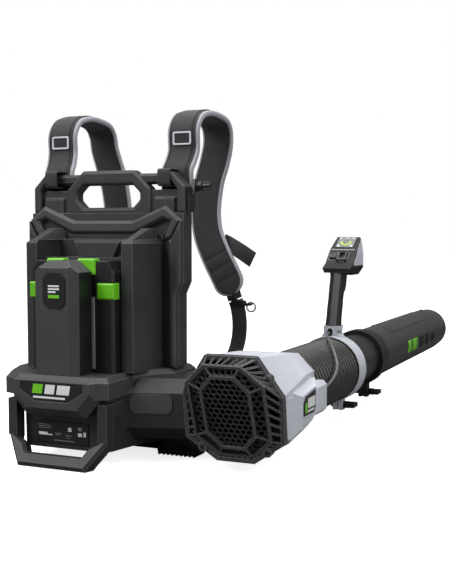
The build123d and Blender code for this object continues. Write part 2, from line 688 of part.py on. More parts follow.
def name_plates():
    """Bare plates on the column, on the arm and on the fan's side box."""
    column = prism_y(badge_outline(22, 30, COLUMN_TOP_Z - 50), COLUMN_FRONT_Y - PLATE_THICKNESS, COLUMN_FRONT_Y)
    arm = octagon(ARM_PLATE_WIDTH / 2, ARM_PLATE_HEIGHT / 2, 7)
    centre = arm_front_point(0.39)
    turn = math.radians(ARM_TURN)
    along = (math.cos(turn), math.sin(turn))
    normal = (math.sin(turn), -math.cos(turn))
    points = [(centre[0] + x * along[0], centre[1] + x * along[1], 105 + z) for x, z in arm]
    arm_plate = prism(points, (normal[0] * PLATE_THICKNESS, normal[1] * PLATE_THICKNESS, 0))
    side = prism_x(side_badge_points(), SIDE_BOX_X, SIDE_BOX_X + PLATE_THICKNESS)
    return column, arm_plate, side


def side_badge_points():
    """The (y, z) corners of the plate on the fan's side box."""
    return [(-38, 94), (14, 94), (20, 102), (20, 132), (-28, 126), (-38, 116)]


def arm_front_point(share):
    """A point of the arm's front face, in plan, from its inner to its outer end."""
    turn = math.radians(ARM_TURN)
    length = (FAN_X - SHELL_MID_HALF + 2 - ARM_INNER_X) / math.cos(turn)
    return ARM_INNER_X + share * length * math.cos(turn), ARM_FRONT_Y + share * length * math.sin(turn)


# ---------------------------------------------------------------- base

def deck_plan(inset=0.0):
    """The base's outline in plan. The arm leaves on the right, so that side is cut back."""
    side_x = FRAME_HALF_WIDTH - inset
    left = [(-74, DECK_FRONT_Y + inset), (-103 + inset, DECK_FRONT_Y + 10 + inset),
            (-118 + inset, DECK_FRONT_Y + 38), (10 - side_x, -95), (-side_x, -10), (-side_x, BASE_BACK_Y - inset)]
    right = [(side_x, BASE_BACK_Y - inset), (side_x, -20), (side_x - 30, -56), (100 - inset, -84),
             (103 - inset, DECK_FRONT_Y + 10 + inset), (74, DECK_FRONT_Y + inset)]
    return right + left


def badge_outlines():
    """The badge surround's root, its front rim and the plate's outline, as (x, z) corners."""
    half = BADGE_HALF_WIDTH
    low = BADGE_BOTTOM_Z
    top = BADGE_TOP_Z
    def both(right):
        return right + [(-x, z) for x, z in reversed(right)]
    root = both([(half - 14, low - 14), (half + 12, low + 16), (half + 12, top), (half + 4, top + 4)])
    rim = both([(half - 24, low), (half, top - 22), (half, top - 5), (half - 6, top)])
    plate = both([(half - 42, low + 12), (half - 10, top - 20), (half - 10, top - 9), (half - 14, top - 5)])
    return root, rim, plate


def base_deck():
    """The top of the base: bevelled rim, badge surround in front and two battery docks. Open below."""
    plan = deck_plan()
    deck = facets([(x, y, DECK_BOTTOM_Z) for x, y in plan],
                  [(x, y, DECK_TOP_Z - DECK_BEVEL) for x, y in plan],
                  [(x, y, DECK_TOP_Z) for x, y in deck_plan(DECK_BEVEL)])
    deck -= prism_z(deck_plan(DECK_BEVEL - 1), DECK_BOTTOM_Z - 1, DECK_TOP_Z - DECK_BEVEL + 1)
    root, rim, plate = badge_outlines()
    surround = facets([(x, LOWER_FRONT_Y + 2, z) for x, z in root],
                      [(x, DECK_FRONT_Y + 8, z) for x, z in root],
                      [(x, BADGE_FRONT_Y, z) for x, z in rim])
    surround -= prism_y(plate, BADGE_FRONT_Y - 1, BADGE_FRONT_Y + PLATE_THICKNESS)
    surround -= block(-200, 200, BADGE_FRONT_Y - 1, 0, DECK_TOP_Z - DECK_BEVEL, DECK_TOP_Z + 60)
    surround -= base_block()
    deck += surround
    for side in (-1, 1):
        x0 = side * (BATTERY_INNER_X - DOCK_FIT)
        x1 = side * (BATTERY_INNER_X + BATTERY_WIDTH + DOCK_FIT)
        deck -= block(min(x0, x1), max(x0, x1), BATTERY_FRONT_Y - DOCK_FIT, battery_back_y() + DOCK_FIT,
                      DECK_BOTTOM_Z - 10, DECK_TOP_Z + 1)
    return deck


def badge_plate():
    """The bare plate on the base's front."""
    return prism_y(badge_outlines()[2], BADGE_FRONT_Y, BADGE_FRONT_Y + PLATE_THICKNESS)


def lower_plan(inset=0.0):
    """The lower housing's outline in plan, narrower than the deck."""
    half = FRAME_HALF_WIDTH - 8 - inset
    right = [(82 - inset, LOWER_FRONT_Y + inset), (90 - inset, LOWER_FRONT_Y + 12), (94 - inset, -116),
             (106 - inset, -56), (half, 10), (half, BASE_BACK_Y - 4 - inset)]
    return right + [(-x, y) for x, y in reversed(right)]


def base_block():
    """The lower casing's outside as one solid."""
    return facets([(x * BASE_TAPER, y, BASE_BOTTOM_Z) for x, y in lower_plan()],
                  [(x, y, DECK_BOTTOM_Z) for x, y in lower_plan()])


def base_cavity():
    """The room inside the lower casing."""
    return facets([(x * BASE_TAPER, y, BASE_BOTTOM_Z + BASE_WALL) for x, y in lower_plan(BASE_WALL)],
                  [(x, y, DECK_BOTTOM_Z + 1) for x, y in lower_plan(BASE_WALL)])


def base_housing():
    """The lower casing, an open box that tapers towards the floor and holds the electronics."""
    shell = base_block() - base_cavity()
    # Floor posts that carry the electronics board
    for x in (-60, 60):
        for y in (-110, 20):
            shell += cylinder_z(5, BASE_BOTTOM_Z + 1, BOARD_Z, x, y)
    return shell


def controller_board():
    """The electronics on their heat sink, on the floor posts."""
    board = block(-68, 68, -122, 32, BOARD_Z, BOARD_Z + 3)
    for x in (-44, -14, 16, 46):
        board += block(x - 9, x + 9, -90, 0, BOARD_Z + 3, BOARD_Z + 22)
    return board


def dock_terminals():
    """The two terminal blocks under the batteries, on a bridge from wall to wall of the casing."""
    middle = (BATTERY_FRONT_Y + battery_back_y()) / 2
    bridge = block(-FRAME_HALF_WIDTH, FRAME_HALF_WIDTH, middle - 6, middle + 6, BATTERY_BOTTOM_Z - 14,
                   BATTERY_BOTTOM_Z - 8)
    bridge &= base_cavity()
    for side in (-1, 1):
        x = side * (BATTERY_INNER_X + BATTERY_WIDTH / 2)
        bridge += block(x - 24, x + 24, middle - 14, middle + 14, BATTERY_BOTTOM_Z - 8, BATTERY_BOTTOM_Z - SOFT_GAP)
    return bridge


def rating_plate():
    """The plain label plate in the recess under the badge."""
    half = RATING_WIDTH / 2
    plate = block(-half - 4, half - 4, LOWER_FRONT_Y - PLATE_THICKNESS, LOWER_FRONT_Y,
                  RATING_Z - RATING_HEIGHT / 2, RATING_Z + RATING_HEIGHT / 2)
    return plate


def bumper_loop():
    """The front foot: upright legs and a bottom bar that kicks forward to stand on the floor."""
    leg_back = LOOP_LEG_Y + LOOP_DEPTH
    inner_x = LOOP_HALF_WIDTH - LOOP_BAR
    bottom_z = LOOP_SHOULDER_Z - LOOP_BAR_DROP
    outer = [(LOOP_HALF_WIDTH, LOOP_SHOULDER_Z), (LOOP_FOOT_HALF_WIDTH, bottom_z)]
    inner = [(LOOP_FOOT_HALF_WIDTH - 11, bottom_z + LOOP_BAR_HEIGHT),
             (LOOP_FOOT_HALF_WIDTH - 3, bottom_z + LOOP_BAR_HEIGHT + 15), (inner_x, LOOP_SHOULDER_Z)]
    right = inner + outer
    bar = prism_y(right + [(-x, z) for x, z in reversed(right)], LOOP_LEG_Y, leg_back)
    kept = [e for e in front_edges(bar, LOOP_LEG_Y) if e.center().Z < LOOP_SHOULDER_Z - 0.5]
    bar = bevel(bar, kept, 5)
    bar = bar.rotate(Axis((0, LOOP_LEG_Y, LOOP_SHOULDER_Z), (1, 0, 0)), -LOOP_KICK)
    kick = math.radians(LOOP_KICK)
    wedge_y = LOOP_LEG_Y + LOOP_DEPTH * math.cos(kick)
    wedge_z = LOOP_SHOULDER_Z - LOOP_DEPTH * math.sin(kick)
    leg = prism_x([(LOOP_LEG_Y, LOOP_SHOULDER_Z - 0.01), (LOOP_LEG_Y, LOOP_TOP_Z), (leg_back, LOOP_TOP_Z),
                   (leg_back, LOOP_SHOULDER_Z - 4), (wedge_y, wedge_z)], inner_x, LOOP_HALF_WIDTH)
    arm = block(inner_x + 1, LOOP_HALF_WIDTH - 1, leg_back - 1, LOWER_FRONT_Y + 34, LOOP_TOP_Z - 22, LOOP_TOP_Z)
    loop = bar + leg + arm + left_of(leg) + left_of(arm)
    loop -= block(-200, 200, LOOP_LEG_Y - 80, 0, -60, 0)
    loop -= base_deck()
    loop -= base_block()
    return loop.solids().sort_by(SortBy.VOLUME)[-1]


def rubber_feet():
    """Two pads under the back of the base, one under its middle, and the ribbed foot under the arm."""
    pads = [block(side - FOOT_WIDTH / 2, side + FOOT_WIDTH / 2, BASE_BACK_Y - FOOT_LENGTH, BASE_BACK_Y,
                  0, FOOT_HEIGHT) for side in (-60, 60)]
    pads.append(block(-14, 14, -30, 4, 0, FOOT_HEIGHT))
    pad_x1 = SIDE_FOOT_X + SIDE_FOOT_LENGTH
    pad_y1 = SIDE_FOOT_Y + SIDE_FOOT_WIDTH
    ribbed = block(SIDE_FOOT_X, pad_x1, SIDE_FOOT_Y + 2, pad_y1 - 2, 4, RIB_FOOT_HEIGHT)
    pitch = SIDE_FOOT_LENGTH / SIDE_FOOT_RIBS
    for i in range(SIDE_FOOT_RIBS):
        x = SIDE_FOOT_X + (i + 0.5) * pitch
        ribbed += block(x - pitch / 4, x + pitch / 4, SIDE_FOOT_Y, pad_y1, 0, 8)
    return pads + [ribbed]


# ---------------------------------------------------------------- arm

def arm_housing():
    """The hollow arm that carries the fan, with its sloped top front and the bracket of the side foot."""
    x_end, y_end = arm_front_point(1.0)
    front = [(ARM_INNER_X, ARM_FRONT_Y), (x_end, y_end)]
    back = [(x_end, ARM_BACK_Y), (ARM_INNER_X + 40, ARM_BACK_Y)]
    foot = [(x, y + 22, ARM_BOTTOM_Z) for x, y in front] + [(x, y, ARM_BOTTOM_Z) for x, y in back]
    low = [(x, y, ARM_BOTTOM_Z + 24) for x, y in front + back]
    slope = [(x, y, ARM_SLOPE_Z) for x, y in front + back]
    top = [(x, y + 24, ARM_TOP_Z) for x, y in front] + [(x, y, ARM_TOP_Z) for x, y in back]
    arm = facets(foot, low, slope, top)
    arm -= base_block()
    arm -= prism_z(deck_plan(-0.01), DECK_BOTTOM_Z, DECK_TOP_Z)
    arm = arm.solids().sort_by(SortBy.VOLUME)[-1]
    arm -= block(ARM_INNER_X + 70, x_end - 8, y_end + 14, ARM_BACK_Y - ARM_WALL, ARM_BOTTOM_Z + ARM_WALL,
                 ARM_TOP_Z - ARM_WALL)
    # Bracket that reaches down to the ribbed foot
    foot_top = RIB_FOOT_HEIGHT
    bracket = prism_x([(SIDE_FOOT_Y + 2, foot_top), (SIDE_FOOT_Y + SIDE_FOOT_WIDTH - 2, foot_top),
                       (ARM_BACK_Y, ARM_BOTTOM_Z + 1), (SIDE_FOOT_Y - 20, ARM_BOTTOM_Z + 1)],
                      SIDE_FOOT_X + 16, SIDE_FOOT_X + SIDE_FOOT_LENGTH - 4)
    bracket -= base_block()
    return (arm + bracket) - facets(*shell_sections())


# ---------------------------------------------------------------- fan unit

def tilted_plane(y, z, tilt, lift):
    """A plane that faces back and down a little, moved outwards by lift."""
    angle = math.radians(tilt)
    normal = Vector(0, -math.cos(angle), -math.sin(angle))
    return Plane(origin=Vector(FAN_X, y, z) + normal * lift, x_dir=(1, 0, 0), z_dir=normal)


def rim_plane(lift=0.0):
    return tilted_plane(RIM_Y, RIM_Z, RIM_TILT, lift)


def face_plane(lift=0.0):
    return tilted_plane(FACE_Y, FACE_Z, FACE_TILT, lift)


def on_plane(plane, points):
    """Points (x, y) of a plane as 3-D points. Guard outlines have x to the right and y up."""
    up = Vector(1, 0, 0).cross(plane.z_dir)
    up = up if up.Z > 0 else up * -1
    return [plane.origin + Vector(1, 0, 0) * x + up * y for x, y in points]


def rim_outline(inset=0.0):
    """The rim's outline, wider below its middle than above it."""
    share = 1 - inset / RIM_HALF_WIDTH
    right = [(34, -86), (RIM_HALF_WIDTH, -48), (RIM_HALF_WIDTH, 31), (46, 96)]
    outline = right + [(-x, y) for x, y in reversed(right)]
    return [(x * share, y * share) for x, y in outline]


def octagon_up(half_width, half_height, corner_x, corner_y):
    """An octagon whose corners are in the rim outline's order."""
    w, h = half_width, half_height
    right = [(w - corner_x, -h), (w, -h + corner_y), (w, h - corner_y), (w - corner_x, h)]
    return right + [(-x, y) for x, y in reversed(right)]


def face_outline(inset=0.0):
    return octagon_up(FACE_HALF_WIDTH - inset, FACE_HALF_HEIGHT - inset, 36, 33)


def centre_outline(inset=0.0):
    return octagon_up(CENTRE_HALF_WIDTH - inset, CENTRE_HALF_HEIGHT - inset, 24, 26)


def loop_bar(outline, inset_outline, low, high):
    """A closed frame between two outlines of equally many points, from one plane to another."""
    outer = facets(on_plane(low, outline), on_plane(high, outline))
    beyond = low.origin - (high.origin - low.origin), high.origin + (high.origin - low.origin)
    ends = [Plane(origin=o, x_dir=(1, 0, 0), z_dir=low.z_dir) for o in beyond]
    return outer - facets(on_plane(ends[0], inset_outline), on_plane(ends[1], inset_outline))


def rod(start, end, width, depth):
    """A straight bar of rectangular section between two 3-D points."""
    line = end - start
    across = line.cross(face_plane().z_dir).normalized()
    plane = Plane(origin=start, x_dir=across, z_dir=line)
    return Solid.extrude(Face((plane * Rectangle(width, depth)).wire()), line)


def between(low, high, share):
    return low + (high - low) * share


def boss_places():
    """Where the guard is screwed on: the middles of the rim's four slanted sides."""
    corners = on_plane(rim_plane(-RIM_DEPTH), rim_outline(5))
    return [between(corners[i], corners[i + 1], 0.5) for i in (0, 2, 4, 6)]


def guard_screws():
    """Screws sunk in the guard's four bosses."""
    normal = rim_plane().z_dir
    return [Solid.make_cylinder(4.5, 2, Plane(origin=place + normal * (RIM_DEPTH + 1.5), z_dir=normal))
            for place in boss_places()]


def guard_frame():
    """The intake guard's skeleton: rim, face frame, centre frame, ribs, spokes and four bosses."""
    bar = GUARD_BAR_DEPTH
    frame = loop_bar(rim_outline(), rim_outline(RIM_WIDTH), rim_plane(-RIM_DEPTH), rim_plane())
    frame += loop_bar(face_outline(), face_outline(GUARD_BAR), face_plane(-bar), face_plane())
    frame += loop_bar(centre_outline(), centre_outline(GUARD_BAR), face_plane(CENTRE_LIFT - bar),
                      face_plane(CENTRE_LIFT))
    rim = on_plane(rim_plane(-3), rim_outline(RIM_WIDTH / 2))
    rib_end = on_plane(face_plane(-bar / 2), face_outline(0.2))
    face = on_plane(face_plane(-bar / 2), face_outline(GUARD_BAR / 2))
    centre = on_plane(face_plane(CENTRE_LIFT - bar / 2), centre_outline(GUARD_BAR / 2))
    for i in range(8):
        j = (i + 1) % 8
        frame += rod(face[i], centre[i], 3.0, 3.4)
        for step in range(GUARD_RIBS_PER_SIDE):
            share = step / GUARD_RIBS_PER_SIDE
            frame += rod(between(rim[i], rim[j], share), between(rib_end[i], rib_end[j], share), 2.4, 4.0)
    for place in boss_places():
        frame += Solid.make_cylinder(8, RIM_DEPTH + 3, Plane(origin=place, z_dir=rim_plane().z_dir))
    for screw in guard_screws():
        frame -= screw
    return frame


def guard_mesh():
    """The hexagon mesh behind the frame: a flat centre and eight sloped sides."""
    under = GUARD_BAR_DEPTH + 0.01
    thick = MESH_THICKNESS
    dish = facets(on_plane(face_plane(-under), face_outline(2.5)),
                  on_plane(face_plane(CENTRE_LIFT - under), centre_outline(0.5)))
    dish -= facets(on_plane(face_plane(-under - thick), face_outline(2.5)),
                   on_plane(face_plane(CENTRE_LIFT - under - thick), centre_outline(0.5)))
    dish -= loop_bar(face_outline(-1), face_outline(GUARD_BAR + 0.1), face_plane(-under), face_plane(2))
    cell = (MESH_PITCH - MESH_WEB) / math.sqrt(3)
    row_step = MESH_PITCH * math.sqrt(3) / 2
    cutters = []
    rows = int(FACE_HALF_HEIGHT / row_step) + 1
    columns = int(FACE_HALF_WIDTH / MESH_PITCH) + 1
    for row in range(-rows, rows + 1):
        shift = MESH_PITCH / 2 if row % 2 else 0.0
        for column in range(-columns, columns + 1):
            x = column * MESH_PITCH + shift
            y = row * row_step
            if abs(x) > FACE_HALF_WIDTH - 9 or abs(y) > FACE_HALF_HEIGHT - 9:
                continue
            if abs(x) + abs(y) * 1.1 > FACE_HALF_WIDTH + FACE_HALF_HEIGHT - 36 - 10:
                continue
            corners = [(x + cell * math.sin(math.radians(60 * k)), y + cell * math.cos(math.radians(60 * k)))
                       for k in range(6)]
            outline = Wire.make_polygon(on_plane(face_plane(-20), corners), close=True)
            cutters.append(Solid.extrude(Face(outline), face_plane().z_dir * 40))
    return dish.cut(*cutters)


def shell_sections(inset=0.0):
    """The fan housing's outlines from the guard to the bellows."""
    mid = SHELL_MID_HALF - inset
    neck = SHELL_NECK_HALF - inset
    end = SHELL_END_HALF - inset
    rear = on_plane(rim_plane(-RIM_DEPTH), rim_outline(SHELL_MARGIN + inset))
    return [
        [tuple(p) for p in rear],
        [(FAN_X + x, SHELL_MID_Y, FAN_Z + z) for x, z in octagon_up(mid + 2, mid, 34, 34)],
        [(FAN_X + x, SHELL_NECK_Y, FAN_Z + z) for x, z in octagon_up(neck, neck, 30, 30)],
        [(FAN_X + x, SHELL_END_Y, FAN_Z + z) for x, z in octagon_up(end, end, 24, 24)],
    ]


def behind_guard(solid):
    """The part of a solid that lies behind the guard's rim."""
    wide = octagon(150, 150, 10)
    return solid - facets(on_plane(rim_plane(-RIM_DEPTH), wide), on_plane(rim_plane(90), wide))


def side_box():
    """The faceted box on the casing's right side, as (y, z) corners at three depths."""
    inner_x = FAN_X + 60
    edge_x = SIDE_BOX_X - 14
    y0, y1 = SIDE_BOX_START_Y, SIDE_BOX_END_Y
    z0, z1 = SIDE_BOX_BOTTOM_Z, SIDE_BOX_TOP_Z
    deep = [(y0, z0 + 8), (y0, z1 - 8), (y1, z1 - 4), (y1, z0 + 26)]
    edge = [(y0 + 14, z0 - 4), (y0 + 14, z1 - 10), (y1 - 6, z1), (y1 - 6, z0 + 20)]
    face = [(y0 + 30, z0 + 16), (y0 + 30, z1 - 18), (y1 - 38, z1 - 9), (y1 - 38, z0 + 26)]
    return behind_guard(facets([(inner_x, y, z) for y, z in deep], [(edge_x, y, z) for y, z in edge],
                               [(SIDE_BOX_X, y, z) for y, z in face]))


def fan_shells():
    """The light casing in an upper and a lower half, with the box and the clip on its right side."""
    clip = behind_guard(block(FAN_X + 70, FAN_X + 87, -90, -58, FAN_Z - 18, FAN_Z + 20))
    body = facets(*shell_sections()) + side_box() + clip
    body -= facets(*shell_sections(SHELL_WALL))
    duct_end = SHELL_MID_Y + 44
    duct_wall = tube_y(DUCT_RADIUS + SHELL_WALL, DUCT_RADIUS, DUCT_START_Y, duct_end)
    face_plate = facets(*shell_sections(SHELL_WALL - 0.5)) & block(
        FAN_X - 100, FAN_X + 100, DUCT_START_Y, DUCT_START_Y + 4, 0, 220)
    face_plate -= cylinder_y(DUCT_RADIUS, DUCT_START_Y - 1, DUCT_START_Y + 6)
    end_plate = facets(*shell_sections(SHELL_WALL - 0.5)) & block(
        FAN_X - 100, FAN_X + 100, SHELL_END_Y - 4, SHELL_END_Y, 0, 220)
    end_plate -= cylinder_y(BELLOWS_BORE, SHELL_END_Y - 5, SHELL_END_Y + 1)
    body = body + duct_wall + face_plate + end_plate
    body -= cable_box_block()
    upper = body & block(150, 450, -200, 300, FAN_Z, 260)
    lower = body & block(150, 450, -200, 300, -40, FAN_Z)
    return upper, lower


def cable_box_block():
    y0 = SIDE_BOX_END_Y - 3
    half = CABLE_BOX_HEIGHT / 2
    return block(CABLE_BOX_X - CABLE_BOX_WIDTH, CABLE_BOX_X, y0, y0 + CABLE_BOX_LENGTH,
                 CABLE_BOX_Z - half, CABLE_BOX_Z + half)


def cable_box():
    """The box on the casing's right side that the control cable enters."""
    box = cable_box_block()
    outer = [e for e in box.edges().filter_by(Axis.Y) if e.center().X > CABLE_BOX_X - 1]
    return bevel(box, outer, 7)


def motor():
    """The motor can, carried by vanes in the duct."""
    start = IMPELLER_Y + IMPELLER_DEPTH + MOTOR_GAP
    end = start + MOTOR_LENGTH
    can = cylinder_y(MOTOR_RADIUS, start, end)
    can -= cylinder_y(SHAFT_RADIUS + SHAFT_FIT, start - 1, start + 24)
    tail = facets(
        [(FAN_X + x, end, FAN_Z + z) for x, z in octagon(17, 17, 10)],
        [(FAN_X + x, end + 24, FAN_Z + z) for x, z in octagon(6, 6, 3)])
    return can + tail


def motor_mount():
    """The ring of vanes between the duct wall and the motor."""
    start = IMPELLER_Y + IMPELLER_DEPTH + MOTOR_GAP + 10
    depth = 36
    ring = tube_y(MOTOR_RADIUS + 4, MOTOR_RADIUS, start, start + depth)
    for i in range(VANE_COUNT):
        vane = block(FAN_X - VANE_THICKNESS / 2, FAN_X + VANE_THICKNESS / 2, start, start + depth,
                     FAN_Z + MOTOR_RADIUS + 2, FAN_Z + DUCT_RADIUS)
        axis = Axis((FAN_X, 0, FAN_Z), (0, 1, 0))
        ring += vane.rotate(axis, 360 * i / VANE_COUNT + 12)
    return ring & cylinder_y(DUCT_RADIUS, start - 5, start + depth + 5)


def impeller():
    """The fan wheel with its hub, blades and shaft."""
    end = IMPELLER_Y + IMPELLER_DEPTH
    hub = cylinder_y(IMPELLER_HUB_RADIUS, IMPELLER_Y, end)
    nose = Solid.make_cone(IMPELLER_HUB_RADIUS, 8, 22, Plane(origin=(FAN_X, IMPELLER_Y, FAN_Z), z_dir=(0, -1, 0)))
    wheel = hub + nose
    for i in range(IMPELLER_BLADES):
        blade = facets(
            [(FAN_X - 14, IMPELLER_Y + 3, FAN_Z + 20), (FAN_X - 11, IMPELLER_Y + 3, FAN_Z + 20),
             (FAN_X + 14, end - 3, FAN_Z + 20), (FAN_X + 11, end - 3, FAN_Z + 20)],
            [(FAN_X - 24, IMPELLER_Y + 6, FAN_Z + 61), (FAN_X - 22, IMPELLER_Y + 6, FAN_Z + 61),
             (FAN_X + 20, end - 7, FAN_Z + 61), (FAN_X + 18, end - 7, FAN_Z + 61)])
        wheel += blade.rotate(Axis((FAN_X, 0, FAN_Z), (0, 1, 0)), 360 * i / IMPELLER_BLADES)
    wheel &= cylinder_y(IMPELLER_RADIUS, IMPELLER_Y - 40, end + 1)
    return wheel + cylinder_y(SHAFT_RADIUS, end - 1, end + MOTOR_GAP + 20)


# ---------------------------------------------------------------- bellows hose

def bellows_half(start, end):
    """A corrugated hose: ribs and grooves along a thin wall."""
    pitch = (end - start) / BELLOWS_RIBS
    outside = [(BELLOWS_ROOT_RADIUS, start)]
    for i in range(BELLOWS_RIBS):
        y = start + i * pitch
        outside += [(BELLOWS_RADIUS, y + 0.3 * pitch), (BELLOWS_RADIUS, y + 0.55 * pitch),
                    (BELLOWS_ROOT_RADIUS, y + 0.85 * pitch)]
    outside += [(BELLOWS_ROOT_RADIUS, end)]
    profile = outside + [(r - BELLOWS_WALL, y) for r, y in reversed(outside)]
    outline = Wire.make_polygon([Vector(FAN_X + r, y, FAN_Z) for r, y in profile], close=True)
    return Solid.revolve(Face(outline), 360, Axis((FAN_X, 0, FAN_Z), (0, 1, 0)))


def centre_ring():
    """The rigid ring in the middle of the hose, where both bends meet."""
    middle = hose_middle_y()
    return tube_y(BELLOWS_RADIUS, BELLOWS_BORE + 1, middle - CENTRE_RING_WIDTH / 2, middle + CENTRE_RING_WIDTH / 2)


def hose_middle_y():
    return (SHELL_END_Y + BELLOWS_END_Y) / 2


# ---------------------------------------------------------------- tube and nozzle

def blow_tube():
    return tube_y(TUBE_RADIUS, TUBE_RADIUS - TUBE_WALL, RING_Y, TUBE_END_Y)


def nozzle_form(inset=0.0):
    """The nozzle's outside, or its bore when inset: a long barrel, a taper and a straight mouth."""
    taper_y = NOZZLE_END_Y - MOUTH_LENGTH - MOUTH_TAPER
    mouth_y = NOZZLE_END_Y - MOUTH_LENGTH
    past = 1 if inset else 0
    form = cylinder_y(NOZZLE_RADIUS - inset, NOZZLE_START_Y - past, taper_y)
    form += Solid.make_cone(NOZZLE_RADIUS - inset, MOUTH_RADIUS - inset, MOUTH_TAPER,
                            Plane(origin=(FAN_X, taper_y, FAN_Z), z_dir=(0, 1, 0)))
    return form + cylinder_y(MOUTH_RADIUS - inset, mouth_y, NOZZLE_END_Y + past)


def nozzle():
    """The sliding nozzle with its raised panel and a locating nub near the mouth."""
    body = nozzle_form()
    panel = tube_y(NOZZLE_RADIUS + 1.6, NOZZLE_RADIUS - 1, 770, 1190)
    wedge = [(FAN_X, FAN_Z), (FAN_X - 20, FAN_Z + 80), (FAN_X + 70, FAN_Z + 80)]
    body += panel & prism_y(wedge, 760, 1200)
    body += block(FAN_X - 3, FAN_X + 3, 1236, 1254, FAN_Z + NOZZLE_RADIUS - 4, FAN_Z + NOZZLE_RADIUS + 3)
    return body - nozzle_form(NOZZLE_WALL)


def clamp_block(y, width, top_z, bottom_z):
    """The split lug under a clamp ring: two jaws that a wing screw pulls together."""
    half = width / 2
    jaws = block(LUG_X - half, LUG_X + half, y - 10, y + 10, bottom_z, top_z)
    return jaws - block(LUG_X - 1.5, LUG_X + 1.5, y - 11, y + 11, bottom_z - 1, top_z - 8)


def screw_hole(y, z):
    return cylinder_x(WING_SCREW_RADIUS + SHAFT_FIT, LUG_X - 60, LUG_X + 60, y, z)


def nozzle_collar():
    """The stepped collar on the nozzle's rear end, with its clamp lug."""
    inner = TUBE_RADIUS + MOVING_GAP
    collar = tube_y(COLLAR_RADIUS, inner, COLLAR_START_Y, COLLAR_START_Y + COLLAR_WIDTH)
    collar += tube_y(COLLAR_STEP_RADIUS, inner, COLLAR_START_Y + COLLAR_WIDTH, NOZZLE_START_Y)
    y = COLLAR_START_Y + COLLAR_WIDTH / 2
    lug = clamp_block(y, CLAMP_BLOCK_WIDTH, FAN_Z - TUBE_RADIUS - 3, collar_screw_z() - 12)
    lug -= cylinder_y(inner, COLLAR_START_Y - 5, NOZZLE_START_Y + 5)
    return collar + lug - screw_hole(y, collar_screw_z())


def collar_screw_z():
    return FAN_Z - COLLAR_RADIUS - 14


def clamp_screw_z():
    return FAN_Z - RING_RADIUS - 7


def wing_screw(y, z, nut=5):
    """A thumb screw along X: shank, head with two wings on the right, nut on the left."""
    jaw_half = CLAMP_BLOCK_WIDTH / 2 + MOVING_GAP
    head = LUG_X + jaw_half
    screw = cylinder_x(WING_SCREW_RADIUS, LUG_X - jaw_half - 5, head + 2, y, z)
    screw += cylinder_x(7.5, head, head + 12, y, z)
    for side in (-1, 1):
        wing = prism_x([(y, z - 3.5), (y + side * WING_RADIUS, z - 4.5), (y + side * WING_RADIUS, z + 4.5),
                        (y, z + 3.5)], head + 8, head + 26)
        screw += wing
    return screw + cylinder_x(6.5, LUG_X - jaw_half - nut, LUG_X - jaw_half, y, z)


# ---------------------------------------------------------------- handle

def clamp_ring():
    """The light ring round the tube, with the stem foot above and the clamp lug below."""
    inner = TUBE_RADIUS + MOVING_GAP
    ring = tube_y(RING_RADIUS, inner, RING_Y, RING_Y + RING_WIDTH)
    ring += tube_y(RING_RADIUS, TUBE_RADIUS - TUBE_WALL, RING_Y - 4, RING_Y)
    ring += tube_y(RING_RADIUS, BELLOWS_RADIUS + 1, RING_Y - 4 - RING_SKIRT, RING_Y - 3)
    y = RING_Y + RING_WIDTH / 2
    stem = facets(
        [(FAN_X - 32, y - 11, FAN_Z + 54), (FAN_X + 32, y - 11, FAN_Z + 54),
         (FAN_X + 32, y + 11, FAN_Z + 54), (FAN_X - 32, y + 11, FAN_Z + 54)],
        [(FAN_X - STEM_HALF_WIDTH, y - 15, STEM_TOP_Z - 16), (FAN_X + STEM_HALF_WIDTH, y - 15, STEM_TOP_Z - 16),
         (FAN_X + STEM_HALF_WIDTH, y + 15, STEM_TOP_Z - 16), (FAN_X - STEM_HALF_WIDTH, y + 15, STEM_TOP_Z - 16)],
        [(FAN_X - STEM_HALF_WIDTH, y - 17, STEM_TOP_Z), (FAN_X + STEM_HALF_WIDTH, y - 17, STEM_TOP_Z),
         (FAN_X + STEM_HALF_WIDTH, y + 20, STEM_TOP_Z), (FAN_X - STEM_HALF_WIDTH, y + 20, STEM_TOP_Z)])
    lug = clamp_block(y, CLAMP_BLOCK_WIDTH, FAN_Z - TUBE_RADIUS - 3, clamp_screw_z() - 11)
    body = ring + stem + lug
    body -= cylinder_y(inner, RING_Y, RING_Y + RING_WIDTH + 9)
    body -= cylinder_y(TUBE_RADIUS - TUBE_WALL, RING_Y - 9, RING_Y)
    body -= cylinder_y(BELLOWS_RADIUS + 1, RING_Y - 40, RING_Y - 4)
    body -= screw_hole(y, clamp_screw_z())
    body -= cylinder_y(CABLE_RADIUS + 2, y - 30, y - 8, FAN_X - 2, cable_exit_z())
    return body


def cable_exit_z():
    return STEM_TOP_Z - 14


def grip_axis_points():
    """The grip's centre at its foot and at its top."""
    y = RING_Y + RING_WIDTH / 2 + 1.5
    rise = GRIP_TOP_Z - STEM_TOP_Z
    return (y, STEM_TOP_Z), (y + rise * math.tan(math.radians(GRIP_LEAN)), GRIP_TOP_Z)


def grip_section(y, z, scale):
    wide = GRIP_RADIUS * scale
    return [(FAN_X + a, y + b, z) for a, b in octagon(wide, wide * 1.08, wide * 0.55)]


def handle_grip():
    (y0, z0), (y1, z1) = grip_axis_points()
    mid_y = (y0 + y1) / 2 - 2
    mid_z = (z0 + z1) / 2
    return facets(grip_section(y0, z0, 0.98), grip_section(mid_y, mid_z, 0.92), grip_section(y1, z1, 1.0))


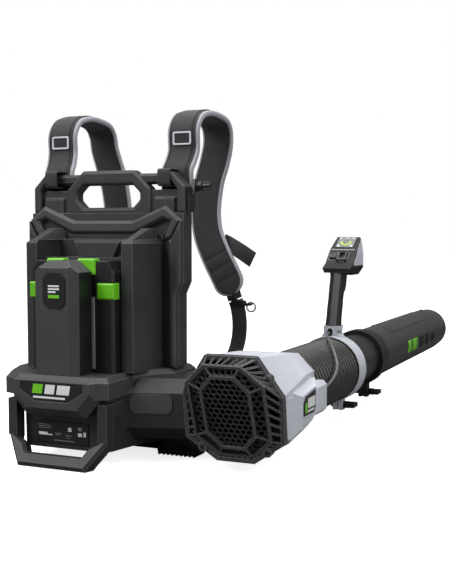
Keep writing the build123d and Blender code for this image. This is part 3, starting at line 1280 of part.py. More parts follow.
def head_body(inset=0.0):
    """The head: a side outline crossed with a front outline that narrows upwards. Inset thins its width."""
    (y0, z0), (y1, z1) = grip_axis_points()
    rear = y1 - GRIP_RADIUS * 1.08
    front = y1 + GRIP_RADIUS * 1.08
    side = prism_x([(rear, z1), (front, z1), (front + 2, HEAD_BOTTOM_Z), (HEAD_FRONT_Y - 15, HEAD_BOTTOM_Z),
                    (HEAD_FRONT_Y, HEAD_BOTTOM_Z + 14), (HEAD_FRONT_Y, HEAD_TOP_Z - 14), HEAD_DISPLAY_END,
                    HEAD_DISPLAY_START, HEAD_FACE_START, (rear, z1 + 10)], FAN_X - 60, FAN_X + 60)
    right = [(HEAD_FOOT_HALF_WIDTH - inset, HEAD_BOTTOM_Z - 2), (HEAD_HALF_WIDTH - inset, HEAD_BOTTOM_Z + 16),
             (HEAD_HALF_WIDTH - inset, HEAD_BOTTOM_Z + 46), (HEAD_TOP_HALF_WIDTH - inset, HEAD_TOP_Z + 2)]
    outline = [(FAN_X + x, z) for x, z in right] + [(FAN_X - x, z) for x, z in reversed(right)]
    return side & prism_y(outline, rear - 1, HEAD_FRONT_Y + 1)


def head_core():
    """The head without the room of its two side covers, which start behind its rear face and display."""
    low = HEAD_BOTTOM_Z + 20
    (ya, za), (yb, zb), (yc, zc) = HEAD_FACE_START, HEAD_DISPLAY_START, HEAD_DISPLAY_END
    room = prism_x([(ya + COVER_SETBACK, low), (ya + COVER_SETBACK, za), (yb + COVER_SETBACK, zb),
                    (yc + COVER_SETBACK, zc), (yc + 60, zc), (yc + 60, low)], FAN_X - 100, FAN_X + 100)
    return head_body() - (room - head_body(COVER_THICKNESS))


def control_frame(x, share):
    """A frame on the head's sloped rear face: x across, y up the slope, z out of the face."""
    (ya, za), (yb, zb) = HEAD_FACE_START, HEAD_DISPLAY_START
    origin = Vector(x, between(ya, yb, share), between(za, zb, share))
    return Plane(origin=origin, x_dir=(1, 0, 0), z_dir=(0, -(zb - za), yb - ya))


def slab(frame, half_x, y0, y1, z0, z1):
    """A block in a frame, from -half_x to half_x."""
    corners = [(-half_x, y0), (half_x, y0), (half_x, y1), (-half_x, y1)]
    outline = Wire.make_polygon([frame.from_local_coords(Vector(a, b, z0)) for a, b in corners], close=True)
    return Solid.extrude(Face(outline), frame.z_dir * (z1 - z0))


def button_frame():
    return control_frame(FAN_X - 18, 0.52)


def lever_frame():
    return control_frame(FAN_X + 3, 0.48)


def power_button():
    """The square button on the left of the head's rear face."""
    half = 8 - MOVING_GAP
    return slab(button_frame(), half, -half, half, -5, 3)


def cruise_lever():
    """The U-shaped lever beside the button, which holds a set speed."""
    frame = lever_frame()
    half = 11 - MOVING_GAP
    lever = slab(frame, half, -14, 12, -3, 5)
    return lever - slab(frame, half - 5, -6, 13, -4, 6)


def trigger_pocket():
    return block(FAN_X - 8, FAN_X + 8, 481, 501, HEAD_BOTTOM_Z - 1, HEAD_BOTTOM_Z + 13)


def trigger():
    """The speed trigger under the head, in front of the grip."""
    z = HEAD_BOTTOM_Z
    half = 8 - MOVING_GAP
    return prism_x([(486, z + 10), (497, z + 10), (499, z - 6), (493, z - 24), (485, z - 36), (481, z - 35),
                    (486, z - 16)], FAN_X - half, FAN_X + half)


def head_shell():
    """The dark control head, with openings for its trigger, lever and button."""
    body = head_core() - trigger_pocket()
    body -= slab(button_frame(), 8, -8, 8, -9, 9)
    return body - slab(lever_frame(), 11, -15, 13, -4, 9)


def head_cover():
    """The two light side covers of the head."""
    layer = head_body() - head_core()
    right = layer & block(FAN_X, 400, 400, 600, 300, 420)
    left = layer & block(200, FAN_X, 400, 600, 300, 420)
    return right, left


def display_panel():
    """The tilted display that lies on top of the head."""
    half = HEAD_TOP_HALF_WIDTH - COVER_THICKNESS - 1
    low, high = HEAD_DISPLAY_START, HEAD_DISPLAY_END
    along = Vector(0, high[0] - low[0], high[1] - low[1]).normalized()
    frame = Plane(origin=Vector(FAN_X, *low), x_dir=(1, 0, 0), z_dir=(0, -along.Z, along.Y))
    return slab(frame, half, 4, 44, 0, PLATE_THICKNESS)


# ---------------------------------------------------------------- straps

def strap_stations():
    """Centres of the right shoulder strap from its bar, over the shoulder, down the chest to its tip."""
    x, rear, front, top = STRAP_X, STRAP_REAR_Y, STRAP_FRONT_Y, STRAP_APEX_Z
    root = FRAME_BACK_Y + 3 + SOFT_GAP + STRAP_THICKNESS / 2
    return [
        (x - 4, root, STRAP_BAR_Z - 10), (x - 4, root, STRAP_BAR_Z + 6), (x - 2, rear - 8, 532), (x, rear, 554),
        (x, rear, top - 34), (x, rear + 18, top - 10),
        (x, rear + 50, top), (x, rear + 86, top + 1), (x, front - 24, top - 6), (x, front - 5, top - 24),
        (x - 2, front, top - 52), (x - 11, front + 3, 536), (x - 22, front + 3, 500), (x - 29, front + 4, 455),
        (x - 29, front + 4, 422), (x - 22, front + 2, 390), (x - 4, front - 2, 352), (x + 20, front - 6, 310),
        (x + 38, front - 10, 278),
    ]


def banded(centres, facing=None):
    """Stations of a ribbon. Without a facing hint its width stays as close to the X axis as it can."""
    stations = []
    last = len(centres) - 1
    for i, centre in enumerate(centres):
        before = Vector(*centres[max(i - 1, 0)])
        after = Vector(*centres[min(i + 1, last)])
        along = (after - before).normalized()
        if facing:
            across = along.cross(Vector(*facing)).normalized()
        else:
            across = (Vector(1, 0, 0) - along * along.X).normalized()
        stations.append((centre, tuple(across), tuple(across.cross(along))))
    return stations


def shoulder_strap():
    return ribbon(banded(strap_stations()), STRAP_WIDTH, STRAP_THICKNESS)


def webbing_route():
    """The slack webbing from the strap's tip down, then back under the pads to the base."""
    x, y, z = strap_stations()[-1]
    return [(x + 7, y, z - 26), (x + 12, y - 1, z - 56), (x + 11, y - 4, z - 88), (x + 6, y - 16, z - 116),
            (x - 4, y - 48, z - 134), (x - 12, y - 96, z - 140),
            (FRAME_HALF_WIDTH + 2, BASE_BACK_Y + SOFT_GAP, DECK_BOTTOM_Z + 16)]


def strap_webbing():
    return ribbon(banded(webbing_route()), WEBBING_WIDTH, WEBBING_THICKNESS)


def chest_strap():
    """The loose end of the adjuster strap, which sticks out of the right strap."""
    x, y, z = STRAP_X + 8, STRAP_FRONT_Y - 7.5, 381
    route = [(x, y, z), (x + 12, y - 1.5, z - 5), (x + 42, y - 8, z - 18), (x + 74, y - 14, z - 34)]
    return ribbon(banded(route, (0, 1, 0)), 25, WEBBING_THICKNESS)


def slider(z):
    """The rectangular slider on the strap's rear run."""
    y = STRAP_REAR_Y - STRAP_THICKNESS / 2 - 2 * SOFT_GAP
    x = STRAP_X
    frame = block(x - 19, x + 19, y - 2.5, y, z - 14, z + 14)
    return frame - block(x - 15, x + 15, y - 4, y + 1, z - 10, z + 10)


def buckle():
    """The buckle at the right strap's tip, with the peg that the ring hangs on."""
    x, y, z = strap_stations()[-1]
    body = block(x - 6, x + 24, y - 4, y + 4, z - 23, z - 12)
    body += block(x - 6, x + 4, y - 2, y + 2, z - 13, z - 3.8)
    peg_x, peg_z = ring_peg()
    arm = block(x + 20, peg_x + 3, y - 6, y - 3, peg_z - 3, peg_z + 3)
    return body + arm + Solid.make_cylinder(2, 9, Plane(origin=(peg_x, y - 5, peg_z), z_dir=(0, 1, 0)))


def ring_peg():
    """The x and z of the peg that the ring hangs on."""
    x, y, z = strap_stations()[-1]
    return x + 36, z - 19


def d_ring():
    """The ring at the tip of the right strap, hanging on its peg."""
    peg_x, peg_z = ring_peg()
    y = strap_stations()[-1][1]
    drop = RING_LOOP_RADIUS - RING_WIRE_RADIUS - 2 - SOFT_GAP
    return Solid.make_torus(RING_LOOP_RADIUS, RING_WIRE_RADIUS,
                            Plane(origin=(peg_x, y, peg_z - drop), z_dir=(0, 1, 0)))


# ---------------------------------------------------------------- control cable

CABLE_MIDDLE = (FAN_X + 61, hose_middle_y(), FAN_Z + 43)


def cable_front_route():
    """From the stem's hole, back and over the hose to its middle."""
    y = RING_Y + RING_WIDTH / 2
    return [(FAN_X - 2, y - 8, cable_exit_z()), (FAN_X - 2, y - 36, cable_exit_z()),
            (FAN_X + 16, y - 92, FAN_Z + 78), (FAN_X + 44, y - 138, FAN_Z + 62), CABLE_MIDDLE]


def cable_rear_route():
    """From the hose's middle down to the box on the casing."""
    y_end = SIDE_BOX_END_Y - 3 + CABLE_BOX_LENGTH
    before = Vector(*cable_front_route()[-2])
    middle = Vector(*CABLE_MIDDLE)
    onward = middle + (middle - before).normalized() * 24
    return [CABLE_MIDDLE, (onward.X, onward.Y, onward.Z), (FAN_X + 76, y_end + 76, FAN_Z + 14),
            (CABLE_BOX_X - 13, y_end + 34, FAN_Z + 4), (CABLE_BOX_X - 13, y_end, FAN_Z + 4)]


# ---------------------------------------------------------------- write every piece

save("back_frame", back_frame())
right_rail = side_rail()
save("side_rail_right", *right_rail)
save("side_rail_left", *[left_of(piece) for piece in right_rail])
save("frame_hood", frame_hood())
save("centre_panel", centre_panel())
save("carry_handle", carry_handle())
save("strap_bars", strap_bar(), left_of(strap_bar()))
save("side_bracket", side_bracket())
save("back_pads", *back_pads())

save("battery_right", battery_with_pocket())
save("battery_left", left_of(battery_with_pocket()))
cells = battery_cells()
save("cells_right", *cells)
save("cells_left", *[left_of(cell) for cell in cells])
save("release_right", release_button())
save("release_left", left_of(release_button()))
save("latch_right", latch())
save("latch_left", left_of(latch()))
save("battery_column", battery_column())
save("name_plates", *name_plates(), badge_plate(), rating_plate())

save("base_deck", base_deck())
save("base_housing", base_housing())
save("controller_board", controller_board())
save("dock_terminals", dock_terminals())
save("bumper_loop", bumper_loop())
save("rubber_feet", *rubber_feet())
save("arm_housing", arm_housing())

upper_shell, lower_shell = fan_shells()
save("fan_shell_upper", upper_shell)
save("fan_shell_lower", lower_shell)
save("cable_box", cable_box())
save("guard_frame", guard_frame())
save("guard_mesh", guard_mesh())
save("housing_screws", *guard_screws())
save("motor", motor())
save("motor_mount", motor_mount())
save("impeller", impeller())

save("bellows_rear", bellows_half(SHELL_END_Y, hose_middle_y() - CENTRE_RING_WIDTH / 2))
save("bellows_centre", centre_ring())
save("bellows_front", bellows_half(hose_middle_y() + CENTRE_RING_WIDTH / 2, BELLOWS_END_Y))

save("blow_tube", blow_tube())
save("nozzle", nozzle())
save("nozzle_collar", nozzle_collar())
save("collar_screw", wing_screw(COLLAR_START_Y + COLLAR_WIDTH / 2, collar_screw_z(), 20))
save("clamp_ring", clamp_ring())
save("clamp_screw", wing_screw(RING_Y + RING_WIDTH / 2, clamp_screw_z()))
save("handle_grip", handle_grip())
save("head_shell", head_shell())
save("head_cover", *head_cover())
save("display_panel", display_panel())
save("power_button", power_button())
save("cruise_lever", cruise_lever())
save("trigger", trigger())

right_strap = shoulder_strap()
save("shoulder_strap_right", right_strap)
save("shoulder_strap_left", left_of(right_strap))
save("strap_webbing", strap_webbing(), left_of(strap_webbing()))
save("strap_sliders", slider(SLIDER_Z), left_of(slider(SLIDER_Z)), buckle(), left_of(buckle()))
save("chest_strap", chest_strap())
save("d_ring_right", d_ring())
save("d_ring_left", left_of(d_ring()))

save("control_cable_front", cable(cable_front_route(), CABLE_RADIUS))
save("control_cable_rear", cable(cable_rear_route(), CABLE_RADIUS))
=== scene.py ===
import math

import bmesh
import bpy
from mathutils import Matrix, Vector


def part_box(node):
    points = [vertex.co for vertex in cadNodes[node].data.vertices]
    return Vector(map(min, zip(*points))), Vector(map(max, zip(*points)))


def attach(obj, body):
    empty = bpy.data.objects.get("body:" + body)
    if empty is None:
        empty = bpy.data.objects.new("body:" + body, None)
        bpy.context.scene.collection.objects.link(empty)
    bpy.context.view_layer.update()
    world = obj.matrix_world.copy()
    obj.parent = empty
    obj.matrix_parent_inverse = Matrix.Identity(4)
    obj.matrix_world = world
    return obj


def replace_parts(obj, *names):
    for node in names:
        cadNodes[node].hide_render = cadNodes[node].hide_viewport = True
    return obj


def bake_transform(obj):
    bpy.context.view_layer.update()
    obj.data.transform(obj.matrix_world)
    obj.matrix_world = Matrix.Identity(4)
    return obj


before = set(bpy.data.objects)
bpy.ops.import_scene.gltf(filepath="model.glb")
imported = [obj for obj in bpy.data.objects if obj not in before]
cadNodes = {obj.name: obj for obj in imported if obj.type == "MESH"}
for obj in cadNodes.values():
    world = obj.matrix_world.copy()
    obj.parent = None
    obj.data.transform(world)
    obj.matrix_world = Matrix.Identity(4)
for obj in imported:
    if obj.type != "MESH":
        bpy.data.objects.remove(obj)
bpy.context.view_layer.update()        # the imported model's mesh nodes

# Backpack leaf blower, dressed for a studio picture.
# Metres; millimetres in the names that end in Mm, the printed marks, the display and the buckle's outlines.

fanX = 0.300        # the fan, the hose and the tube share one axis along Y
fanZ = 0.110


def mm(value):
    return value / 1000.0


# camera

cameraSpec = {"place": (0.9481, -1.5920, 0.4120), "turnDeg": 24.0, "downDeg": 3.8, "lensMm": 61.2}


def makeCamera(spec):
    data = bpy.data.cameras.new("camera")
    data.lens = spec["lensMm"]
    data.sensor_width = 36.0
    data.clip_start = 0.02
    camera = bpy.data.objects.new("camera", data)
    camera.location = spec["place"]
    camera.rotation_euler = (math.radians(90.0 - spec["downDeg"]), 0.0, math.radians(spec["turnDeg"]))
    bpy.context.scene.collection.objects.link(camera)
    bpy.context.scene.camera = camera


makeCamera(cameraSpec)
print("camera set")


# material helpers

def hexColour(text):
    values = [int(text[i:i + 2], 16) / 255.0 for i in (1, 3, 5)]
    linear = [v / 12.92 if v <= 0.04045 else ((v + 0.055) / 1.055) ** 2.4 for v in values]
    return (*linear, 1.0)


def newMaterial(name, space="Object"):    # an empty node tree, and the places its textures are laid on
    material = bpy.data.materials.new(name)
    material.use_nodes = True
    material.node_tree.nodes.clear()
    return material, addNode(material, "ShaderNodeTexCoord").outputs[space]


def addNode(owner, kind, settings=None, links=None):    # a setting is a socket's value or the node's own
    node = owner.node_tree.nodes.new(kind)
    for key, value in (settings or {}).items():
        if isinstance(key, int) or key in node.inputs:
            node.inputs[key].default_value = value
        else:
            setattr(node, key, value)
    for key, source in (links or {}).items():
        owner.node_tree.links.new(source, node.inputs[key])
    return node


def finishMaterial(material, settings, links):
    shader = addNode(material, "ShaderNodeBsdfPrincipled", settings, links)
    addNode(material, "ShaderNodeOutputMaterial", None, {"Surface": shader.outputs["BSDF"]})
    return material


def cloudedFinish(material, spec, place):    # two close shades in soft clouds, with a roughness that follows
    cloud = addNode(material, "ShaderNodeTexNoise",
                    {"Scale": 1.0 / mm(spec["cloudMm"]), "Detail": spec.get("detail", 2.0)},
                    {"Vector": place})
    low, high = spec.get("contrast", (0.0, 1.0))
    share = addNode(material, "ShaderNodeMapRange", {"From Min": low, "From Max": high},
                    {"Value": cloud.outputs["Fac"]})
    base = addNode(material, "ShaderNodeMix",
                   {"data_type": "RGBA", 6: hexColour(spec["shade"]), 7: hexColour(spec["colour"])},
                   {0: share.outputs["Result"]})
    links = {"Base Color": base.outputs[2]}
    if "vary" in spec:
        low, high = spec.get("varyOver", (0.0, 1.0))
        rough = addNode(material, "ShaderNodeMapRange",
                        {"From Min": low, "From Max": high, "To Min": spec["roughness"] - spec["vary"],
                         "To Max": spec["roughness"] + spec["vary"]}, {"Value": cloud.outputs["Fac"]})
        links["Roughness"] = rough.outputs["Result"]
    return cloud.outputs["Fac"], links


# injection-moulded plastics

plasticShape = {"detail": 3.0, "contrast": (0.35, 0.65), "vary": 0.04, "varyOver": (0.3, 0.7),
                "edgeRadius": 0.0016, "edgeSamples": 4, "edgeFade": (0.92, 0.995), "grainHeight": 0.0004}

plastics = {    # the real mould grain is near 0.2 mm, drawn coarser so that it shows
    # glass-filled nylon, spark-textured mould: dull and even, with paler edges, partly rubbed wear and partly
    # a painted highlight
    "charcoal_nylon": {"colour": "#323234", "shade": "#2b2b2d", "wornEdgeAndHighlight": "#808084", "wearAndHighlight": 0.65,
                       "roughness": 0.50, "ior": 1.53, "cloudMm": 70.0, "grainMm": 1.1, "bump": 0.10},
    # the same nylon in black: deep and satin
    "dark_nylon": {"colour": "#161617", "shade": "#111112", "wornEdgeAndHighlight": "#5a5a5e", "wearAndHighlight": 0.6,
                   "roughness": 0.44, "ior": 1.53, "cloudMm": 60.0, "grainMm": 1.0, "bump": 0.09},
    # a slightly paler charcoal for the big flat panels
    "panel_nylon": {"colour": "#424244", "shade": "#3b3b3d", "wornEdgeAndHighlight": "#909094", "wearAndHighlight": 0.65,
                    "roughness": 0.50, "ior": 1.53, "cloudMm": 90.0, "grainMm": 1.2, "bump": 0.10},
    # ABS in cool light grey, fine satin mould: soft broad highlights
    "pale_abs": {"colour": "#d6d9e2", "shade": "#cfd2dc", "wornEdgeAndHighlight": "#eceef3", "wearAndHighlight": 0.45,
                 "roughness": 0.42, "ior": 1.54, "cloudMm": 80.0, "grainMm": 1.3, "bump": 0.05},
    # ABS in lime green, smooth mould: clean colour with a small gloss
    "lime_abs": {"colour": "#72d01f", "shade": "#68c41a", "wornEdgeAndHighlight": "#a2ec54", "wearAndHighlight": 0.4,
                 "roughness": 0.36, "ior": 1.54, "cloudMm": 40.0, "grainMm": 1.0, "bump": 0.04},
    # thin charcoal nylon ribs: they stand out pale against the dark throat
    "guard_nylon": {"colour": "#454547", "shade": "#3d3d3f", "wornEdgeAndHighlight": "#8a8a8e", "wearAndHighlight": 0.75,
                    "roughness": 0.46, "ior": 1.53, "cloudMm": 50.0, "grainMm": 1.0, "bump": 0.05},
    # the mesh between them, a shade darker and duller
    "honeycomb_nylon": {"colour": "#28282a", "shade": "#222224", "wornEdgeAndHighlight": "#4c4c50", "wearAndHighlight": 0.5,
                        "roughness": 0.52, "ior": 1.53, "cloudMm": 50.0, "grainMm": 1.0, "bump": 0.05},
    # dry black nylon round the controls, with crisp paler rims, partly wear and partly a painted edge
    # highlight
    "head_nylon": {"colour": "#0f0f10", "shade": "#0b0b0c", "wornEdgeAndHighlight": "#6a6a6e", "wearAndHighlight": 0.7,
                   "roughness": 0.62, "ior": 1.50, "cloudMm": 30.0, "grainMm": 0.9, "bump": 0.10},
    # extruded polypropylene tube: black, waxy sheen with long soft reflections
    "tube_polypropylene": {"colour": "#262627", "shade": "#212122", "wornEdgeAndHighlight": "#4c4c4f", "wearAndHighlight": 0.3,
                           "roughness": 0.33, "ior": 1.49, "cloudMm": 120.0, "grainMm": 1.6, "bump": 0.03},
    # moulded nozzle: charcoal satin, paler than the tube inside it
    "nozzle_nylon": {"colour": "#39393a", "shade": "#333334", "wornEdgeAndHighlight": "#626265", "wearAndHighlight": 0.3,
                     "roughness": 0.40, "ior": 1.53, "cloudMm": 120.0, "grainMm": 1.2, "bump": 0.05},
    # pressed rubber feet: black and dull
    "pad_rubber": {"colour": "#1b1b1b", "shade": "#141414", "wornEdgeAndHighlight": "#3a3a3a", "wearAndHighlight": 0.4,
                   "roughness": 0.80, "ior": 1.52, "cloudMm": 30.0, "grainMm": 1.4, "bump": 0.16},
}


def mouldedPlastic(name, spec):
    material, place = newMaterial(name)
    _, links = cloudedFinish(material, {**plasticShape, **spec}, place)
    # paler edges, partly rubbed wear and partly a painted highlight: where a rounded normal leaves the flat
    # one
    rounded = addNode(material, "ShaderNodeBevel",
                      {"Radius": plasticShape["edgeRadius"], "samples": plasticShape["edgeSamples"]})
    flat = addNode(material, "ShaderNodeNewGeometry")
    match = addNode(material, "ShaderNodeVectorMath", {"operation": "DOT_PRODUCT"},
                    {0: rounded.outputs["Normal"], 1: flat.outputs["Normal"]})
    low, high = plasticShape["edgeFade"]
    edge = addNode(material, "ShaderNodeMapRange",
                   {"From Min": low, "From Max": high, "To Min": spec["wearAndHighlight"], "To Max": 0.0},
                   {"Value": match.outputs["Value"]})
    colour = addNode(material, "ShaderNodeMix", {"data_type": "RGBA", 7: hexColour(spec["wornEdgeAndHighlight"])},
                     {0: edge.outputs["Result"], 6: links["Base Color"]})
    grain = addNode(material, "ShaderNodeTexNoise", {"Scale": 1.0 / mm(spec["grainMm"]), "Detail": 2.0},
                    {"Vector": place})
    bump = addNode(material, "ShaderNodeBump",
                   {"Strength": spec["bump"], "Distance": plasticShape["grainHeight"]},
                   {"Height": grain.outputs["Fac"]})
    return finishMaterial(material, {"IOR": spec["ior"]},
                          {**links, "Base Color": colour.outputs[2], "Normal": bump.outputs["Normal"]})


# smooth and brushed surfaces: sheath, hose, metals, labels and the display window

hoseSkin = {"vary": 0.07, "cloudMm": 9.0, "detail": 4.0, "contrast": (0.3, 0.7), "bump": 0.08,
            "height": 0.0004, "IOR": 1.51}
metalSkin = {"vary": 0.08, "detail": 3.0, "bump": 0.06, "height": 0.0003}
clouded = {
    # blow-moulded elastomer hose, satin black: the crests in a paler grey, a painted highlight on each rib
    "blown_hose": {"colour": "#4a4947", "shade": "#403f3d", "roughness": 0.38, **hoseSkin},
    # the hose's grooves in near black: painted shade
    "hose_groove_shade": {"colour": "#0d0d0d", "shade": "#090909", "roughness": 0.60, **hoseSkin},
    # extruded PVC sheath: mid grey, smooth, one long highlight
    "cable_sheath": {"colour": "#77777a", "shade": "#69696c", "roughness": 0.24, "cloudMm": 12.0,
                     "IOR": 1.53},
    # zinc-plated steel: bright, with a fine drawn grain
    "plated_steel": {"colour": "#bdbdc1", "shade": "#9b9ba0", "roughness": 0.28, "cloudMm": 1.2,
                     "Metallic": 1.0, **metalSkin},
    # cast aluminium: dull, broad mottling
    "cast_aluminium": {"colour": "#a9aaae", "shade": "#8e8f94", "roughness": 0.50, "cloudMm": 3.0,
                       "Metallic": 1.0, **metalSkin},
    # painted steel: dark and satin
    "painted_steel": {"colour": "#3f4043", "shade": "#323336", "roughness": 0.45, "cloudMm": 2.0,
                      "Metallic": 0.0, **metalSkin},
    # hard-coated acrylic window: dark, smooth and glossy
    "display_acrylic": {"colour": "#4a4b50", "shade": "#3c3d42", "roughness": 0.16, "cloudMm": 14.0,
                        "IOR": 1.49, "Coat Weight": 0.4},
    # light guide behind the window: a yellow-green glow
    "display_light_guide": {"colour": "#c3e35c", "shade": "#b4dc34", "roughness": 0.3, "cloudMm": 5.0,
                            "Emission Color": hexColour("#c3e35c"), "Emission Strength": 0.32},
}
# screen-printed polyester labels: flat colour under a thin satin film
# the black ink prints marks, and the same black also paints shade in the fan's throat, the cable port's
# opening, the screw seats and the gap behind the collar
for inkName, ink, shade, roughness in (
        ("label_dark", "#232325", "#1e1e20", 0.34), ("label_grey", "#525255", "#4b4b4e", 0.45),
        ("ink_green", "#7bd42c", "#70c824", 0.40), ("ink_white", "#f1f2f2", "#e4e5e6", 0.40),
        ("ink_grey", "#8d8d90", "#848487", 0.45), ("ink_black", "#0b0b0c", "#080809", 0.60)):
    clouded[inkName] = {"colour": ink, "shade": shade, "roughness": roughness, "vary": 0.05, "cloudMm": 6.0,
                        "IOR": 1.5}


def smoothSurface(name, spec):
    material, place = newMaterial(name)
    cloud, links = cloudedFinish(material, spec, place)
    if "bump" in spec:
        bump = addNode(material, "ShaderNodeBump", {"Strength": spec["bump"], "Distance": spec["height"]},
                       {"Height": cloud})
        links["Normal"] = bump.outputs["Normal"]
    settings = {"Roughness": spec["roughness"]}
    for socket in ("IOR", "Metallic", "Coat Weight", "Emission Color", "Emission Strength"):
        if socket in spec:
            settings[socket] = spec[socket]
    return finishMaterial(material, settings, links)


# soft surfaces

meshSpec = {"colour": "#343436", "thread": "#222224", "cellMm": 2.6, "fuzzMm": 22.0, "roughness": 0.86}


def spacerMesh(name, spec):    # knitted spacer mesh over foam: matt, with rows of small open cells
    material, place = newMaterial(name)
    # real cells are near 1.5 mm, drawn at 2.6 so that they show
    cells = addNode(material, "ShaderNodeTexVoronoi",
                    {"feature": "F1", "Scale": 1.0 / mm(spec["cellMm"]), "Randomness": 0.35},
                    {"Vector": place})
    fuzz = addNode(material, "ShaderNodeTexNoise", {"Scale": 1.0 / mm(spec["fuzzMm"]), "Detail": 5.0},
                   {"Vector": place})
    hole = addNode(material, "ShaderNodeMapRange", {"From Min": 0.10, "From Max": 0.55},
                   {"Value": cells.outputs["Distance"]})
    base = addNode(material, "ShaderNodeMix",
                   {"data_type": "RGBA", 6: hexColour(spec["thread"]), 7: hexColour(spec["colour"])},
                   {0: hole.outputs["Result"]})
    cloudy = addNode(material, "ShaderNodeMix", {"data_type": "RGBA", "blend_type": "MULTIPLY", 0: 0.30},
                     {6: base.outputs[2], 7: fuzz.outputs["Color"]})
    bump = addNode(material, "ShaderNodeBump", {"Strength": 0.35, "Distance": 0.0006},
                   {"Height": hole.outputs["Result"]})
    return finishMaterial(material,
                          {"Roughness": spec["roughness"], "Sheen Weight": 0.25, "Sheen Roughness": 0.5},
                          {"Base Color": cloudy.outputs[2], "Normal": bump.outputs["Normal"]})


# real ribs are under 1 mm apart, drawn coarser so that they show
bindingSpec = {"colour": "#b3b3bb", "shade": "#96969e", "ribMm": 1.4, "roughness": 0.75}
webbingSpec = {"colour": "#2d2d2f", "shade": "#1c1c1e", "ribMm": 1.7, "roughness": 0.72}
waveLength = 0.314    # metres between upright bands at scale 1; diagonal bands lie 1.4 times as far apart


def wovenTape(name, spec):    # woven polyester tape: fine cross ribs and a faint chevron, dull sheen
    material, place = newMaterial(name, "UV")    # the tape's own length and width, in metres
    ribs = addNode(material, "ShaderNodeTexWave",
                   {"wave_type": "BANDS", "bands_direction": "DIAGONAL",
                    "Scale": waveLength / mm(spec["ribMm"]), "Distortion": 0.4}, {"Vector": place})
    fuzz = addNode(material, "ShaderNodeTexNoise", {"Scale": 1.0 / mm(8.0), "Detail": 4.0}, {"Vector": place})
    faint = addNode(material, "ShaderNodeMapRange", {"To Max": 0.3}, {"Value": fuzz.outputs["Fac"]})
    blend = addNode(material, "ShaderNodeMath", {"operation": "MULTIPLY_ADD", 1: 0.7},
                    {0: ribs.outputs["Fac"], 2: faint.outputs["Result"]})
    base = addNode(material, "ShaderNodeMix",
                   {"data_type": "RGBA", 6: hexColour(spec["shade"]), 7: hexColour(spec["colour"])},
                   {0: blend.outputs["Value"]})
    bump = addNode(material, "ShaderNodeBump", {"Strength": 0.30, "Distance": 0.0004},
                   {"Height": ribs.outputs["Fac"]})
    return finishMaterial(material, {"Roughness": spec["roughness"], "Sheen Weight": 0.2},
                          {"Base Color": base.outputs[2], "Normal": bump.outputs["Normal"]})


# real pebbles are near 1 mm, drawn at 2.4 so that they show
gripSpec = {"colour": "#232325", "shade": "#1a1a1c", "dotMm": 2.4, "roughness": 0.70}
gripStripSpec = {"colour": "#5b5b5e", "shade": "#505053", "dotMm": 2.4, "roughness": 0.62}


def gripElastomer(name, spec):    # overmoulded elastomer: dry and matt with a pebbled touch
    material, place = newMaterial(name)
    pebbles = addNode(material, "ShaderNodeTexVoronoi",
                      {"feature": "SMOOTH_F1", "Scale": 1.0 / mm(spec["dotMm"])}, {"Vector": place})
    base = addNode(material, "ShaderNodeMix",
                   {"data_type": "RGBA", 6: hexColour(spec["colour"]), 7: hexColour(spec["shade"])},
                   {0: pebbles.outputs["Distance"]})
    bump = addNode(material, "ShaderNodeBump", {"Strength": 0.25, "Distance": 0.0004, "invert": True},
                   {"Height": pebbles.outputs["Distance"]})
    return finishMaterial(material, {"Roughness": spec["roughness"], "IOR": 1.5},
                          {"Base Color": base.outputs[2], "Normal": bump.outputs["Normal"]})


finishes = {name: mouldedPlastic(name, spec) for name, spec in plastics.items()}
finishes.update({name: smoothSurface(name, spec) for name, spec in clouded.items()})
finishes["spacer_mesh"] = spacerMesh("spacer_mesh", meshSpec)
finishes["binding_tape"] = wovenTape("binding_tape", bindingSpec)
finishes["woven_webbing"] = wovenTape("woven_webbing", webbingSpec)
finishes["grip_elastomer"] = gripElastomer("grip_elastomer", gripSpec)
finishes["grip_strip_elastomer"] = gripElastomer("grip_strip_elastomer", gripStripSpec)
print("materials made:", len(finishes))


# the hard CAD pieces: a small round on every edge and their real finish

roundings = {    # finish: each node with its edge radius in mm
    "charcoal_nylon": {"back_frame": 1.2, "side_rail_left": 1.6, "side_rail_right": 1.6, "centre_panel": 1.6,
                       "carry_handle": 2.0, "strap_bars": 1.4, "base_housing": 1.6, "bumper_loop": 1.8,
                       "arm_housing": 2.2},
    "panel_nylon": {"frame_hood": 1.4, "battery_column": 1.6, "base_deck": 1.4},
    "dark_nylon": {"side_bracket": 1.0, "battery_left": 1.4, "battery_right": 1.4, "dock_terminals": 0.5,
                   "housing_screws": 0.3, "impeller": 0.4, "nozzle_collar": 1.2, "collar_screw": 0.9,
                   "clamp_screw": 0.9, "power_button": 1.2, "cruise_lever": 1.2, "trigger": 1.4},
    "lime_abs": {"release_left": 1.2, "release_right": 1.2, "latch_left": 1.2, "latch_right": 1.2},
    "pale_abs": {"fan_shell_upper": 2.4, "fan_shell_lower": 2.4, "cable_box": 2.2, "clamp_ring": 1.2,
                 "head_cover": 1.6},
    "head_nylon": {"head_shell": 2.6},
    "guard_nylon": {"guard_frame": 0.5},
    "honeycomb_nylon": {"guard_mesh": 0.0},
    "pad_rubber": {"rubber_feet": 0.8},
    "tube_polypropylene": {"blow_tube": 0.5},
    "nozzle_nylon": {"nozzle": 0.5},
    "label_dark": {"name_plates": 0.4},
    "display_acrylic": {"display_panel": 0.6},
    "plated_steel": {"cells_left": 0.4, "cells_right": 0.4, "d_ring_left": 0.0, "d_ring_right": 0.0},
    "cast_aluminium": {"controller_board": 0.5, "motor_mount": 0.4},
    "painted_steel": {"motor": 0.8},
}
weldReach = 0.00002    # joins the seam vertices of the frame's own meshes


